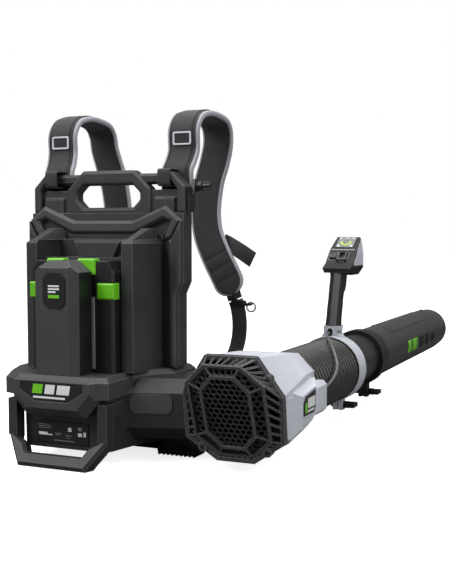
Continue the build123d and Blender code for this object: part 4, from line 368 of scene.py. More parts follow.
def roundEdges(piece, radiusMm, segments=2, angleDeg=28.0, weight=50):
    if radiusMm > 0:
        edge = piece.modifiers.new("edge round", "BEVEL")
        edge.width = mm(radiusMm)
        edge.segments = segments
        edge.limit_method = "ANGLE"
        edge.angle_limit = math.radians(angleDeg)
    smooth = piece.modifiers.new("smooth faces", "WEIGHTED_NORMAL")
    smooth.keep_sharp = True
    smooth.weight = weight
    return piece


def dressNode(name, finish, radiusMm):
    piece = cadNodes[name]
    piece.data.materials.clear()
    piece.data.materials.append(finishes[finish])
    weld = piece.modifiers.new("weld", "WELD")
    weld.merge_threshold = weldReach
    roundEdges(piece, radiusMm, angleDeg=24.0, weight=60)


for finishName, nodes in roundings.items():
    for nodeName, radiusMm in nodes.items():
        dressNode(nodeName, finishName, radiusMm)


def paintFaces(name, finish, test):    # some faces of a CAD piece in a second finish
    piece = cadNodes[name]
    piece.data.materials.append(finishes[finish])
    index = len(piece.data.materials) - 1
    for polygon in piece.data.polygons:
        if test(polygon.center, polygon.normal):
            polygon.material_index = index


throat = {"radius": 0.094, "plateY": -0.058, "plateReach": 0.006, "plateRadius": 0.088}


def paintedThroatShade(centre, normal):    # the casing's inner faces and the motor's plate painted black: painted shade in the fan's throat
    away = Vector((centre.x - fanX, 0, centre.z - fanZ))
    inward = 0.001 < away.length < throat["radius"] and normal.dot(away.normalized()) < -0.15
    plate = abs(centre.y - throat["plateY"]) < throat["plateReach"] and normal.y < -0.9
    return inward or (plate and away.length < throat["plateRadius"])


# the fan's throat painted black as shade
for nodeName in ("fan_shell_upper", "fan_shell_lower", "motor_mount"):
    paintFaces(nodeName, "ink_black", paintedThroatShade)
# the column's side faces in black nylon: painted shade, darker than its front because they face away from the
# light
paintFaces("battery_column", "dark_nylon", lambda centre, normal: abs(normal.x) > 0.72)
paintFaces("name_plates", "label_grey", lambda centre, normal: 0.10 < centre.x < 0.39)
print("hard pieces dressed:", sum(len(nodes) for nodes in roundings.values()))


# mesh helpers

def newPiece(name, points, faces, finish, faceFinish=None, uv=None):
    mesh = bpy.data.meshes.new(name)
    mesh.from_pydata([tuple(p) for p in points], [], faces)
    for each in finish if isinstance(finish, (list, tuple)) else [finish]:
        mesh.materials.append(finishes[each])
    if faceFinish:
        for polygon, index in zip(mesh.polygons, faceFinish):
            polygon.material_index = index
    if uv:
        layer = mesh.uv_layers.new(name="length")
        for loop in mesh.loops:
            layer.data[loop.index].uv = uv[loop.vertex_index]
    for polygon in mesh.polygons:
        polygon.use_smooth = True
    mesh.update()
    piece = bpy.data.objects.new(name, mesh)
    bpy.context.scene.collection.objects.link(piece)
    return piece


def tidyNormals(piece):
    work = bmesh.new()
    work.from_mesh(piece.data)
    bmesh.ops.recalc_face_normals(work, faces=work.faces)
    work.to_mesh(piece.data)
    work.free()
    return piece


def sweptPiece(name, rings, finish, faceFinish=None, uv=None, closed=False):    # rings joined in order
    count = len(rings[0])
    points = [p for ring in rings for p in ring]
    faces, marks = [], []
    for r in range(len(rings) if closed else len(rings) - 1):
        here, there = r * count, (r + 1) % len(rings) * count
        for j in range(count):
            k = (j + 1) % count
            faces.append([here + j, here + k, there + k, there + j])
            marks.append(faceFinish(r, j) if faceFinish else 0)
    if not closed:    # a cap at both ends
        faces.append(list(range(count))[::-1])
        faces.append(list(range(len(points) - count, len(points))))
        marks += [0, 0]
    return tidyNormals(newPiece(name, points, faces, finish, marks, uv))


def slabPiece(name, outline, push, finish, radiusMm):    # a flat outline pushed to a thickness, edges rounded
    near = [Vector(p) for p in outline]
    far = [p + Vector(push) for p in near]
    return roundEdges(sweptPiece(name, [near, far], finish), radiusMm)


latheSteps = 96


def lathePiece(name, profile, finish, faceFinish=None):    # profile of (radius, y) round the fan's axis
    rings = []
    for i in range(latheSteps):
        angle = 2 * math.pi * i / latheSteps
        rings.append([(fanX + radius * math.cos(angle), y, fanZ + radius * math.sin(angle))
                      for radius, y in profile])
    return sweptPiece(name, rings, finish, faceFinish, None, True)


def softLine(corners, step):    # an even, rounded line through the given points
    pts = [Vector(p) for p in corners]
    pts = [pts[0] * 2 - pts[1]] + pts + [pts[-1] * 2 - pts[-2]]
    dense = []
    for a, b, c, d in zip(pts, pts[1:], pts[2:], pts[3:]):
        parts = max(4, int((c - b).length / step * 3))
        for k in range(parts):
            t = k / parts
            dense.append(0.5 * (2 * b + (c - a) * t + (2 * a - 5 * b + 4 * c - d) * t * t
                                + (3 * b - a - 3 * c + d) * t ** 3))
    dense.append(pts[-2])
    travel = [0.0]
    for p, q in zip(dense, dense[1:]):
        travel.append(travel[-1] + (q - p).length)
    count = max(2, int(travel[-1] / step))
    line, at = [], 0
    for k in range(count + 1):
        want = travel[-1] * k / count
        while at < len(travel) - 2 and travel[at + 1] < want:
            at += 1
        span = travel[at + 1] - travel[at] or 1.0
        line.append(dense[at].lerp(dense[at + 1], (want - travel[at]) / span))
    return line, travel[-1]


def lineFrames(line, hint=None):    # the way along, across and out of a band's face at each point
    frames = []
    last = len(line) - 1
    for i in range(len(line)):
        along = (line[min(i + 1, last)] - line[max(i - 1, 0)]).normalized()
        if hint is not None:
            across = along.cross(hint).normalized()
        else:
            across = (Vector((1, 0, 0)) - along * along.x).normalized()
        frames.append((along, across, across.cross(along)))
    return frames


def roundTube(name, centres, radius, finish, sides=20, radii=None):
    side = (centres[1] - centres[0]).orthogonal().normalized()
    turns = [2 * math.pi * k / sides for k in range(sides)]
    rings = []
    last = len(centres) - 1
    for i, centre in enumerate(centres):
        along = (centres[min(i + 1, last)] - centres[max(i - 1, 0)]).normalized()
        side = (side - along * side.dot(along)).normalized()
        up = along.cross(side)
        size = radii[i] if radii else radius
        rings.append([centre + (side * math.cos(a) + up * math.sin(a)) * size for a in turns])
    return sweptPiece(name, rings, finish)


def settle(piece, body):    # the body that carries the piece
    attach(piece, body)


# control cable, in two halves that meet over the middle of the hose

cableSpec = {"radius": 0.00275, "middle": (0.361, 0.256, 0.153), "smoothness": 24}
cableFrontRoute = [(0.298, 0.417, 0.187), (0.298, 0.389, 0.187), (0.316, 0.333, 0.188), (0.344, 0.287, 0.172),
                   cableSpec["middle"]]
cableRearRoute = [cableSpec["middle"], (0.3712, 0.2374, 0.1416), (0.376, 0.195, 0.124), (0.375, 0.153, 0.114),
                  (0.375, 0.119, 0.114)]


def cordCentres(name, route):    # points read from the route's own smooth spline
    data = bpy.data.curves.new(name, "CURVE")
    data.dimensions = "3D"
    data.resolution_u = cableSpec["smoothness"]
    spline = data.splines.new("NURBS")
    spline.points.add(len(route) - 1)
    for point, place in zip(spline.points, route):
        point.co = (*place, 1.0)
    spline.order_u = 3
    spline.use_endpoint_u = True
    guide = bpy.data.objects.new(name, data)
    bpy.context.scene.collection.objects.link(guide)
    bpy.context.view_layer.update()
    mesh = bpy.data.meshes.new_from_object(guide)
    centres = [v.co.copy() for v in mesh.vertices]
    bpy.data.objects.remove(guide)
    bpy.data.meshes.remove(mesh)
    return centres


def controlCable(name, node, route):
    centres = cordCentres(name + "_guide", route)
    piece = roundTube(name, centres, cableSpec["radius"], "cable_sheath")
    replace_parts(piece, node)
    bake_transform(piece)


controlCable("cable_front", "control_cable_front", cableFrontRoute)
controlCable("cable_rear", "control_cable_rear", cableRearRoute)


sleeveSpec = {"radius": 0.0044, "length": 0.014,    # taper: share of the length, share of the radius
              "taper": ((0.0, 1.0), (0.15, 1.0), (0.5, 0.92), (0.55, 0.84), (0.9, 0.78), (1.0, 0.70))}
portSpec = {"place": (0.2985, 0.4092, 0.188), "tall": 1.35, "steps": 32, "edgeMm": 0.3,
            # radius, depth, finish
            "lip": (0.0078, 0.0012, "pale_abs"), "hole": (0.0062, 0.0016, "ink_black")}


def cableSleeve(name, place, direction, body):    # moulded boot where the cable enters a housing
    way = Vector(direction)
    centres = [Vector(place) + way * sleeveSpec["length"] * along for along, _ in sleeveSpec["taper"]]
    radii = [sleeveSpec["radius"] * share for _, share in sleeveSpec["taper"]]
    settle(roundTube(name, centres, sleeveSpec["radius"], "dark_nylon", 20, radii), body)


def cablePort(name, spec):    # oval port with a moulded pale lip, in the stem's rear face; its opening is a black disc, painted shade
    for part in ("lip", "hole"):
        radius, depth, finish = spec[part]
        outline = []
        for k in range(spec["steps"]):
            angle = 2 * math.pi * k / spec["steps"]
            across, up = radius * math.cos(angle), spec["tall"] * radius * math.sin(angle)
            outline.append(Vector(spec["place"]) + Vector((across, 0, up)))
        piece = slabPiece(f"{name}_{part}", outline, (0, -depth, 0), finish, spec["edgeMm"])
        settle(piece, "handle")


cablePort("cable_port", portSpec)
cableSleeve("cable_sleeve_rear", cableRearRoute[-1], (0, 1, 0), "backpack")
cableSleeve("cable_sleeve_front", (0.298, 0.4085, 0.187), (0, -1, 0), "handle")
print("cables laid")


# bellows hose

hoseShape = {"crest": 0.0670, "root": 0.0598, "wall": 0.0026, "ribs": 9, "samples": 16, "fullness": 0.90,
             "grooveShadeShare": 0.80, "clearStart": 0.008, "clearEnd": 0.004}
ribHeight = hoseShape["crest"] - hoseShape["root"]


def hoseProfile(start, end, ribs):
    outside = []
    count = ribs * hoseShape["samples"]
    for i in range(count + 1):
        wave = 0.5 - 0.5 * math.cos(2 * math.pi * i / hoseShape["samples"])
        swell = wave ** hoseShape["fullness"]
        outside.append((hoseShape["root"] + ribHeight * swell, start + (end - start) * i / count))
    return outside + [(radius - hoseShape["wall"], y) for radius, y in reversed(outside)]


def hosePiece(name, node, start, end, ribs):
    profile = hoseProfile(start, end, ribs)
    # faces below this radius take the near-black groove colour: painted shade
    limit = hoseShape["root"] + hoseShape["grooveShadeShare"] * ribHeight

    def inGrooveShade(_, j):
        return 1 if max(profile[j][0], profile[(j + 1) % len(profile)][0]) < limit else 0

    piece = lathePiece(name, profile, ["blown_hose", "hose_groove_shade"], inGrooveShade)
    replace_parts(piece, node)
    return piece


def bellows(name, node, start, end):
    piece = hosePiece(name, node, start, end, hoseShape["ribs"])
    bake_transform(piece)


rearLow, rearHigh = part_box("bellows_rear")
frontLow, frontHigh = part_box("bellows_front")
bellows("hose_rear", "bellows_rear", rearLow.y, rearHigh.y)
bellows("hose_front", "bellows_front", frontLow.y, frontHigh.y)
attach(hosePiece("hose_middle", "bellows_centre", rearHigh.y, frontLow.y, 1), "hose_ring")
print("hose made")


# shoulder straps: foam between two layers of mesh, edges bound with pale tape

strapSpec = {"halfWidth": 0.032, "halfDepth": 0.0060, "bindingHalf": 0.0054, "step": 0.0032, "fill": 0.45,
             "tipRound": 0.030, "tipPower": 2.2, "tipShare": 0.22, "channels": (0.034, 0.060, 0.086),
             "channelWidth": 0.0026, "channelDepth": 0.42, "tapeHalfWidth": 0.0195, "tapeDepth": 0.0021,
             "tapeLift": 0.0006, "tapeShare": 0.52}
strapRoute = [(0.127, 0.0353, 0.474), (0.127, 0.0353, 0.495), (0.127, 0.0353, 0.514), (0.129, 0.046, 0.532),
              (0.131, 0.054, 0.554), (0.131, 0.054, 0.588), (0.131, 0.072, 0.612), (0.131, 0.104, 0.622),
              (0.131, 0.140, 0.623), (0.131, 0.184, 0.616), (0.131, 0.203, 0.598), (0.129, 0.208, 0.570),
              (0.120, 0.211, 0.536), (0.109, 0.211, 0.500), (0.102, 0.212, 0.455), (0.102, 0.212, 0.422),
              (0.109, 0.210, 0.390), (0.127, 0.206, 0.352), (0.151, 0.202, 0.310), (0.169, 0.198, 0.278)]


def strapSection(half, depthScale):    # (across, out, is binding) once round, starting at the left edge
    rim = strapSpec["bindingHalf"]
    deep = strapSpec["halfDepth"] * depthScale
    upper = [(-half, 0.0, 1), (-half + 0.0007, rim * 0.62, 1), (-half + 0.0024, rim * 0.93, 1),
             (-half + 0.0050, rim, 1), (-half + 0.0058, rim * 0.78, 0), (-half + 0.0085, deep * 0.86, 0),
             (-half * 0.50, deep * 0.97, 0), (-half * 0.2, deep, 0)]
    upper += [(-u, v, b) for u, v, b in reversed(upper)][:-1]
    return upper + [(half, 0.0, 1)] + [(-u, -v, b) for u, v, b in upper[1:]]


def mirrored(places, side):
    return [(side * x, y, z) for x, y, z in places]


def shoulderStrap(name, node, side):
    line, total = softLine(mirrored(strapRoute, side), strapSpec["step"])
    frames = lineFrames(line)
    rings, uv = [], []
    tip = strapSpec["tipRound"]
    for i, (centre, (_, across, out)) in enumerate(zip(line, frames)):
        left = total - total * i / (len(line) - 1)
        half = strapSpec["halfWidth"]
        if left < tip:
            narrow = max(0.0, 1 - ((tip - left) / tip) ** strapSpec["tipPower"])
            half *= max(strapSpec["tipShare"], math.sqrt(narrow))
        depth = 1.0
        for channel in strapSpec["channels"]:
            away = (left - channel) / strapSpec["channelWidth"]
            depth -= strapSpec["channelDepth"] * math.exp(-away ** 2)
        section = strapSection(half, depth)
        rings.append([centre + across * u + out * v for u, v, _ in section])
        uv += [(total - left, u) for u, _, _ in section]
    marks = [b for _, _, b in strapSection(strapSpec["halfWidth"], 1.0)]
    count = len(marks)

    def finishOf(_, j):
        return 1 if marks[j] and marks[(j + 1) % count] else 0

    piece = sweptPiece(name, rings, ["spacer_mesh", "binding_tape"], finishOf, uv)
    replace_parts(piece, node)
    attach(piece, "backpack")
    return line, frames


# shares of a band's half width and half depth, once round
bandSection = [(-1.0, -0.55), (-0.985, 0.6), (-0.94, 1.0), (-0.5, 0.92), (0.0, 1.0), (0.5, 0.92), (0.94, 1.0),
               (0.985, 0.6), (1.0, -0.55), (0.94, -1.0), (0.0, -1.0), (-0.94, -1.0)]


def flatBand(name, line, frames, halfWidth, halfDepth, lift=0.0):    # a woven strip on a line
    rings, uv = [], []
    travel = 0.0
    for i, (centre, (_, across, out)) in enumerate(zip(line, frames)):
        if i:
            travel += (centre - line[i - 1]).length
        middle = centre + out * lift
        rings.append([middle + across * (u * halfWidth) + out * (v * halfDepth) for u, v in bandSection])
        uv += [(travel, u * halfWidth) for u, _ in bandSection]
    band = sweptPiece(name, rings, "woven_webbing", None, uv)
    settle(band, "backpack")
    return band


sides = (("right", 1), ("left", -1))
for sideName, side in sides:
    line, frames = shoulderStrap("shoulder_strap_" + sideName, "shoulder_strap_" + sideName, side)
    # the woven tape sewn on the outside, from the bar over the shoulder
    outward = 1 if frames[20][2].y < 0 else -1    # 64 mm along the strap, outside is towards -Y
    reach = int(len(line) * strapSpec["tapeShare"])
    flatBand("strap_tape_" + sideName, line[2:reach], frames[2:reach], strapSpec["tapeHalfWidth"],
             strapSpec["tapeDepth"] / 2, outward * (strapSpec["halfDepth"] + strapSpec["tapeLift"]))
print("shoulder straps made")


# slack webbing, adjuster end and the hardware on the straps

webbingRoute = [(0.172, 0.198, 0.266), (0.177, 0.1978, 0.250), (0.181, 0.197, 0.222), (0.180, 0.194, 0.190),
                (0.175, 0.182, 0.162), (0.165, 0.150, 0.144), (0.157, 0.102, 0.138), (0.152, 0.0623, 0.138)]
adjusterRoute = [(0.136, 0.2185, 0.382), (0.150, 0.2172, 0.376), (0.181, 0.2000, 0.363),
                 (0.213, 0.1865, 0.347)]
tabRoute = [(0.161, 0.1995, 0.297), (0.166, 0.1988, 0.282), (0.171, 0.1982, 0.268)]
webbingSize = {"halfWidth": 0.0155, "halfDepth": 0.00105, "step": 0.004}


def webbingPiece(name, route, hint=None):
    line, _ = softLine(route, webbingSize["step"])
    return flatBand(name, line, lineFrames(line, hint), webbingSize["halfWidth"], webbingSize["halfDepth"])


webbingParts = []
for sideName, side in sides:
    webbingParts.append(webbingPiece("webbing_" + sideName, mirrored(webbingRoute, side)))
    webbingPiece("strap_tab_" + sideName, mirrored(tabRoute, side), Vector((0, 1, 0)))
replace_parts(webbingParts[0], "strap_webbing")
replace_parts(webbingPiece("adjuster_end", adjusterRoute, Vector((0, 1, 0))), "chest_strap")

sliderSpec = {"halfWidth": 0.0185, "halfHeight": 0.0122, "bar": 0.0032, "depth": 0.0030,
              "place": (0.131, 0.0436, 0.572), "outerCorner": 0.0035, "innerCorner": 0.0015, "edgeMm": 0.9}
# the buckle at the strap's tip and the arm that carries the ring, with their outlines in mm from the tip
buckleSpec = {"tip": (0.169, 0.198, 0.278), "back": 0.004, "depth": 0.008, "edgeMm": 1.4,
              "armBack": 0.0058, "armDepth": 0.0028, "armEdgeMm": 0.8,
              "pegBack": 0.0048, "pegRadius": 0.0019, "pegOut": (0.0, 0.004, 0.0088),
              "outline": ((-6, -23), (24, -23), (26, -18), (24, -12), (6, -10), (4, -4.5), (-5, -4.5),
                          (-6, -12)),
              "arm": ((18, -21.5), (37, -21.5), (39, -19), (37, -16.5), (18, -16.5)), "peg": (36, -19)}


def sliderFrame(name, side, spec):    # a rounded square ring in the XZ plane
    x, y, z = spec["place"]
    width, height, bar = spec["halfWidth"], spec["halfHeight"], spec["bar"]
    outer = roundedRectangle(width, height, spec["outerCorner"])
    inner = roundedRectangle(width - bar, height - bar, spec["innerCorner"])
    rings = []
    for outside, inside in zip(outer, inner):
        corners = ((outside, 0), (inside, 0), (inside, spec["depth"]), (outside, spec["depth"]))
        rings.append([(side * x + u, y + back, z + v) for (u, v), back in corners])
    return roundEdges(sweptPiece(name, rings, "pale_abs", closed=True), spec["edgeMm"], 3)


def roundedRectangle(halfWidth, halfHeight, radius, steps=5):
    points = []
    for cx, cz, start in ((1, 1, 0), (-1, 1, 90), (-1, -1, 180), (1, -1, 270)):
        for k in range(steps + 1):
            angle = math.radians(start + 90 * k / steps)
            points.append((cx * (halfWidth - radius) + radius * math.cos(angle),
                           cz * (halfHeight - radius) + radius * math.sin(angle)))
    return points


def tipHardware(sideName, side, spec):    # buckle, ring arm and peg at one strap's tip
    tipX, tipY, tipZ = spec["tip"]

    def fromTip(offset, back):
        return Vector((side * (tipX + mm(offset[0])), tipY - back, tipZ + mm(offset[1])))

    buckle = slabPiece("buckle_" + sideName, [fromTip(p, spec["back"]) for p in spec["outline"]],
                       (0, spec["depth"], 0), "dark_nylon", spec["edgeMm"])
    arm = slabPiece("ring_arm_" + sideName, [fromTip(p, spec["armBack"]) for p in spec["arm"]],
                    (0, spec["armDepth"], 0), "dark_nylon", spec["armEdgeMm"])
    pegLine = [fromTip(spec["peg"], spec["pegBack"]) + Vector((0, out, 0)) for out in spec["pegOut"]]
    peg = roundTube("ring_peg_" + sideName, pegLine, spec["pegRadius"], "dark_nylon")
    for piece in (buckle, arm, peg):
        settle(piece, "backpack")


sliders = []
for sideName, side in sides:
    slider = sliderFrame("slider_" + sideName, side, sliderSpec)
    settle(slider, "backpack")
    sliders.append(slider)
    tipHardware(sideName, side, buckleSpec)
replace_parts(sliders[0], "strap_sliders")
print("webbing and hardware made")

# a pale strip on the battery's inner edge: painted highlight of its lit chamfer
edgeStripSpec = {"x": (0.0405, 0.0475), "y": -0.1245, "z": (0.165, 0.290), "depth": 0.0022, "edgeMm": 0.7}
(stripLeft, stripRight), (stripLow, stripHigh) = edgeStripSpec["x"], edgeStripSpec["z"]
stripPlan = [(x, edgeStripSpec["y"], z) for x, z in (
    (stripLeft, stripLow), (stripRight, stripLow), (stripRight, stripHigh), (stripLeft, stripHigh))]
batteryEdgeHighlight = slabPiece("battery_edge_highlight", stripPlan, (0, -edgeStripSpec["depth"], 0), "ink_grey", edgeStripSpec["edgeMm"])
settle(batteryEdgeHighlight, "battery_right")

# belt loops round the strap bars

loopSpec = {"x": 0.1195, "halfWidth": 0.0128, "y": 0.0125, "z": 0.4995, "halfDepth": 0.0180,
            "halfHeight": 0.0150, "corner": 0.0055, "bandDepth": 0.0011}


def beltLoop(name, side, spec):
    middle = Vector((side * spec["x"], spec["y"], spec["z"]))
    ring = [middle + Vector((0, u, v))
            for u, v in roundedRectangle(spec["halfDepth"], spec["halfHeight"], spec["corner"], 4)]
    ring.append(ring[0].copy())
    frames = []
    for place in ring:
        radial = (place - middle).normalized()
        frames.append((Vector((0, radial.z, -radial.y)), Vector((1, 0, 0)), radial))
    flatBand(name, ring, frames, spec["halfWidth"], spec["bandDepth"])


for sideName, side in sides:
    beltLoop("belt_loop_" + sideName, side, loopSpec)


# back and hip pads: foam pads swollen by a cloth simulation

padSpecs = {
    "back_pad": {"halfWidth": 0.089, "halfHeight": 0.092, "corner": 0.027, "z": 0.330, "low": 0.0264,
                 "high": 0.0455, "channelsZ": (0.030, -0.030), "channelX": 0.030, "swell": 0.0045},
    "hip_pad": {"halfWidth": 0.112, "halfHeight": 0.0305, "corner": 0.017, "z": 0.192, "low": 0.0264,
                "high": 0.0530, "channelsZ": (), "channelX": 0.042, "swell": 0.0045}}
foamSpec = {"bottomGap": 0.001, "topInset": 0.004, "voxel": 0.0045, "grooveWidth": 0.0045,
            "grooveDepth": 0.0055, "pipingLift": 0.0045, "pipingProud": 0.0012, "pipingRadius": 0.0024,
            "pipingStep": 0.006, "fill": 0.6}
clothSpec = {"quality": 5, "mass": 0.15, "tension_stiffness": 18, "compression_stiffness": 18,
             "shear_stiffness": 8, "bending_stiffness": 1.5, "use_pressure": True,
             "uniform_pressure_force": 4.0}
clothFrames = 20


def octagonPlan(halfWidth, halfHeight, corner):
    a, b = halfWidth - corner, halfHeight - corner
    return [(halfWidth, -b), (halfWidth, b), (a, halfHeight), (-a, halfHeight),
            (-halfWidth, b), (-halfWidth, -b), (-a, -halfHeight), (a, -halfHeight)]


def simulatePad(piece, swell):    # pressure makes the foam bulge between its seams, then the result is kept
    start = [v.co.copy() for v in piece.data.vertices]
    cloth = piece.modifiers.new("swell", "CLOTH")
    for key, value in clothSpec.items():
        setattr(cloth.settings, key, value)
    cloth.settings.effector_weights.gravity = 0.0
    cloth.point_cache.frame_start = 1
    cloth.point_cache.frame_end = clothFrames
    for step in range(1, clothFrames + 1):
        bpy.context.scene.frame_set(step)
    view = bpy.context.evaluated_depsgraph_get()
    moved = [v.co.copy() for v in piece.evaluated_get(view).data.vertices]
    piece.modifiers.remove(cloth)
    bpy.context.scene.frame_set(1)
    for vertex, before, after in zip(piece.data.vertices, start, moved):
        shift = after - before
        if shift.length > swell:
            shift = shift.normalized() * swell
        vertex.co = before + shift


def grooveDip(distance):    # 1 in the middle of a sewn channel, fading to 0 beside it
    return math.exp(-(distance / foamSpec["grooveWidth"]) ** 2)


def foamPad(name, spec):
    width, height, corner = spec["halfWidth"], spec["halfHeight"], spec["corner"]
    bottom, inset = spec["low"] + foamSpec["bottomGap"], foamSpec["topInset"]
    low = [(x, bottom, z + spec["z"]) for x, z in octagonPlan(width, height, corner)]
    high = [(x, spec["high"], z + spec["z"]) for x, z in octagonPlan(width - inset, height - inset, corner)]
    piece = sweptPiece(name, [low, high], "spacer_mesh")
    remesh = piece.modifiers.new("even mesh", "REMESH")
    remesh.mode = "VOXEL"
    remesh.voxel_size = foamSpec["voxel"]
    view = bpy.context.evaluated_depsgraph_get()
    even = bpy.data.meshes.new_from_object(piece.evaluated_get(view))
    piece.modifiers.clear()
    piece.data = even
    simulatePad(piece, spec["swell"])
    for vertex in piece.data.vertices:
        x, y, z = vertex.co
        groove = grooveDip(abs(x) - spec["channelX"])
        for line in spec["channelsZ"]:
            groove = max(groove, grooveDip(z - spec["z"] - line))
        if y > (spec["low"] + spec["high"]) / 2:
            vertex.co.y -= foamSpec["grooveDepth"] * groove
        vertex.co.y = max(vertex.co.y, spec["low"])
    for polygon in piece.data.polygons:
        polygon.use_smooth = True
    finer = piece.modifiers.new("finer", "SUBSURF")
    finer.levels = 1
    finer.render_levels = 1
    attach(piece, "backpack")
    padPiping(name + "_piping", spec)
    return piece


def padPiping(name, spec):    # a tape cord sewn in round the pad's seam
    proud, y = foamSpec["pipingProud"], spec["low"] + foamSpec["pipingLift"]
    plan = octagonPlan(spec["halfWidth"] + proud, spec["halfHeight"] + proud, spec["corner"])
    ring = [Vector((x, y, z + spec["z"])) for x, z in plan]
    join = ring[-1].lerp(ring[0], 0.5)
    line, _ = softLine([join] + ring + [join], foamSpec["pipingStep"])
    settle(roundTube(name, line, foamSpec["pipingRadius"], "binding_tape", 10), "backpack")


pads = [foamPad(name, spec) for name, spec in padSpecs.items()]
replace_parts(pads[0], "back_pads")
print("pads made")


# grip: an oval elastomer handle with a paler strip down its back

gripShape = {"foot": (0.4265, 0.201), "top": (0.4604, 0.312), "halfX": 0.0172, "halfY": 0.0186, "steps": 44,
             "sides": 72, "squareness": 0.86, "bow": 0.0014, "waist": 0.955, "waistDip": 0.045,
             "waistWave": 0.012, "seamAt": 0.66, "seamWidth": 0.012, "seamDepth": 0.030, "stripDeg": 24.0,
             "stripAt": 13.0, "stripRise": 0.018}


def onStrip(angle):    # whether a place round the grip is on the pale strip down its back
    turn = math.degrees(math.atan2(math.cos(angle), -math.sin(angle)))
    return abs(turn - gripShape["stripAt"]) < gripShape["stripDeg"]


def squared(share):    # an oval pushed out a little towards its corners
    return math.copysign(abs(share) ** gripShape["squareness"], share)


def makeGrip(spec):
    (footY, footZ), (topY, topZ) = spec["foot"], spec["top"]
    rings = []
    for i in range(spec["steps"] + 1):
        t = i / spec["steps"]
        arch = math.sin(math.pi * t)
        y = footY + (topY - footY) * t - spec["bow"] * arch
        z = footZ + (topZ - footZ) * t
        waist = spec["waist"] - spec["waistDip"] * arch + spec["waistWave"] * math.cos(6 * math.pi * t)
        seam = spec["seamDepth"] * math.exp(-((t - spec["seamAt"]) / spec["seamWidth"]) ** 2)
        ring = []
        for k in range(spec["sides"]):
            angle = 2 * math.pi * k / spec["sides"]
            scale = waist - seam + (spec["stripRise"] if onStrip(angle) else 0.0)
            ring.append(Vector((fanX + spec["halfX"] * scale * squared(math.cos(angle)),
                                y + spec["halfY"] * scale * squared(math.sin(angle)), z)))
        rings.append(ring)

    def finishOf(_, j):
        return 1 if onStrip(2 * math.pi * (j + 0.5) / spec["sides"]) else 0

    piece = sweptPiece("grip", rings, ["grip_elastomer", "grip_strip_elastomer"], finishOf)
    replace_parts(piece, "handle_grip")
    settle(piece, "handle")


makeGrip(gripShape)


# plain printed marks on the label places: bars and blocks, no lettering

inkRise = 0.0003
inkEdgeMm = 0.12


def bar(name, corners, push, ink, body):
    settle(slabPiece(name, corners, push, ink, inkEdgeMm), body)


def faceBars(prefix, y, bars, body):    # bars on a face that looks along -Y
    for index, (x0, x1, z0, z1, lean, ink) in enumerate(bars):
        places = ((x0, z0), (x1, z0), (x1 + lean, z1), (x0 + lean, z1))
        corners = [(mm(x), y, mm(z)) for x, z in places]
        bar(f"{prefix}_{index}", corners, (0, -inkRise, 0), ink, body)


faceBars("deck_mark", -0.1920, [    # x from, x to, z from, z to, lean, ink
    (-38, -18, 128, 144, 3, "ink_green"), (-13, 6, 128, 144, 3, "ink_white"),
    (11, 36, 128, 144, 3, "ink_white"), (-36, 28, 120, 123.5, 0.8, "ink_white")], "backpack")
faceBars("column_mark", -0.1800, [
    (-11, 11, 309, 312, 0, "ink_white"), (-11, 11, 304, 307, 0, "ink_white"),
    (-11, 4, 299, 302, 0, "ink_white"), (-11, 11, 290, 295.5, 0, "ink_green")], "backpack")
faceBars("rating_mark", -0.1520, [
    (-52, -30, 66.0, 67.2, 0, "ink_grey"), (-52, -24, 63.0, 64.2, 0, "ink_grey"),
    (-52, -27, 60.0, 61.2, 0, "ink_grey"), (-52, -34, 48, 53, 0, "ink_white"),
    (-34, -24, 48, 50, 0, "ink_white"), (8, 15, 57, 64, 0, "ink_white"), (-18, -6, 52, 53.2, 0, "ink_grey"),
    (-18, -8, 49, 50.2, 0, "ink_grey"), (2, 16, 49, 50.2, 0, "ink_grey"), (4, 12, 45, 46.2, 0, "ink_grey"),
    (28, 36, 60, 66, 0, "ink_grey"), (28, 36, 50, 56, 0, "ink_white"), (39, 44, 50, 58, 0, "ink_white"),
    (-20, 22, 39.5, 40.7, 0, "ink_grey")], "backpack")


def sideBars(prefix, x, bars, body):    # bars on a face that looks along +X
    for index, (y0, y1, z0, z1, ink) in enumerate(bars):
        corners = [(x, mm(y0), mm(z0)), (x, mm(y1), mm(z0)), (x, mm(y1), mm(z1)), (x, mm(y0), mm(z1))]
        bar(f"{prefix}_{index}", corners, (inkRise, 0, 0), ink, body)


sideBars("side_mark", 0.4000, [    # y from, y to, z from, z to, ink
    (-34, -24, 98, 115, "ink_green"), (-21, 16, 105, 122, "ink_white"), (-21, 12, 98, 102, "ink_white")],
         "backpack")


nozzleMarks = [    # y from, y to, angle from, angle to in degrees, ink
    (0.864, 0.905, -18, 13, "ink_green"), (0.915, 0.964, -18, 13, "ink_green"),
    (0.985, 1.030, -16, 12, "ink_black"), (1.052, 1.098, -16, 12, "ink_black"),
    (1.122, 1.172, -14, 8, "ink_black")]
nozzleRadius = 0.05802
markSteps = 10


def curvedMark(name, y0, y1, angle0, angle1, ink):    # ink on the round nozzle
    top = nozzleRadius + inkRise
    rings = []
    for k in range(markSteps + 1):
        angle = math.radians(angle0 + (angle1 - angle0) * k / markSteps)
        rings.append([(fanX + math.cos(angle) * radius, y, fanZ + math.sin(angle) * radius)
                      for radius, y in ((nozzleRadius, y0), (nozzleRadius, y1), (top, y1), (top, y0))])
    settle(sweptPiece(name, rings, ink), "nozzle")


for markIndex, mark in enumerate(nozzleMarks):
    curvedMark(f"nozzle_mark_{markIndex}", *mark)

seamSpec = {"inner": 0.0570, "outer": 0.0606, "start": 0.6535, "end": 0.6575}    # black ring in the gap behind the collar: painted shade
seamProfile = [(seamSpec["inner"], seamSpec["start"]), (seamSpec["outer"], seamSpec["start"]),
               (seamSpec["outer"], seamSpec["end"]), (seamSpec["inner"], seamSpec["end"])]
settle(lathePiece("collar_gap_shade", seamProfile, "ink_black"), "nozzle")
print("marks printed")


# display: window, lit ring and small pale signs

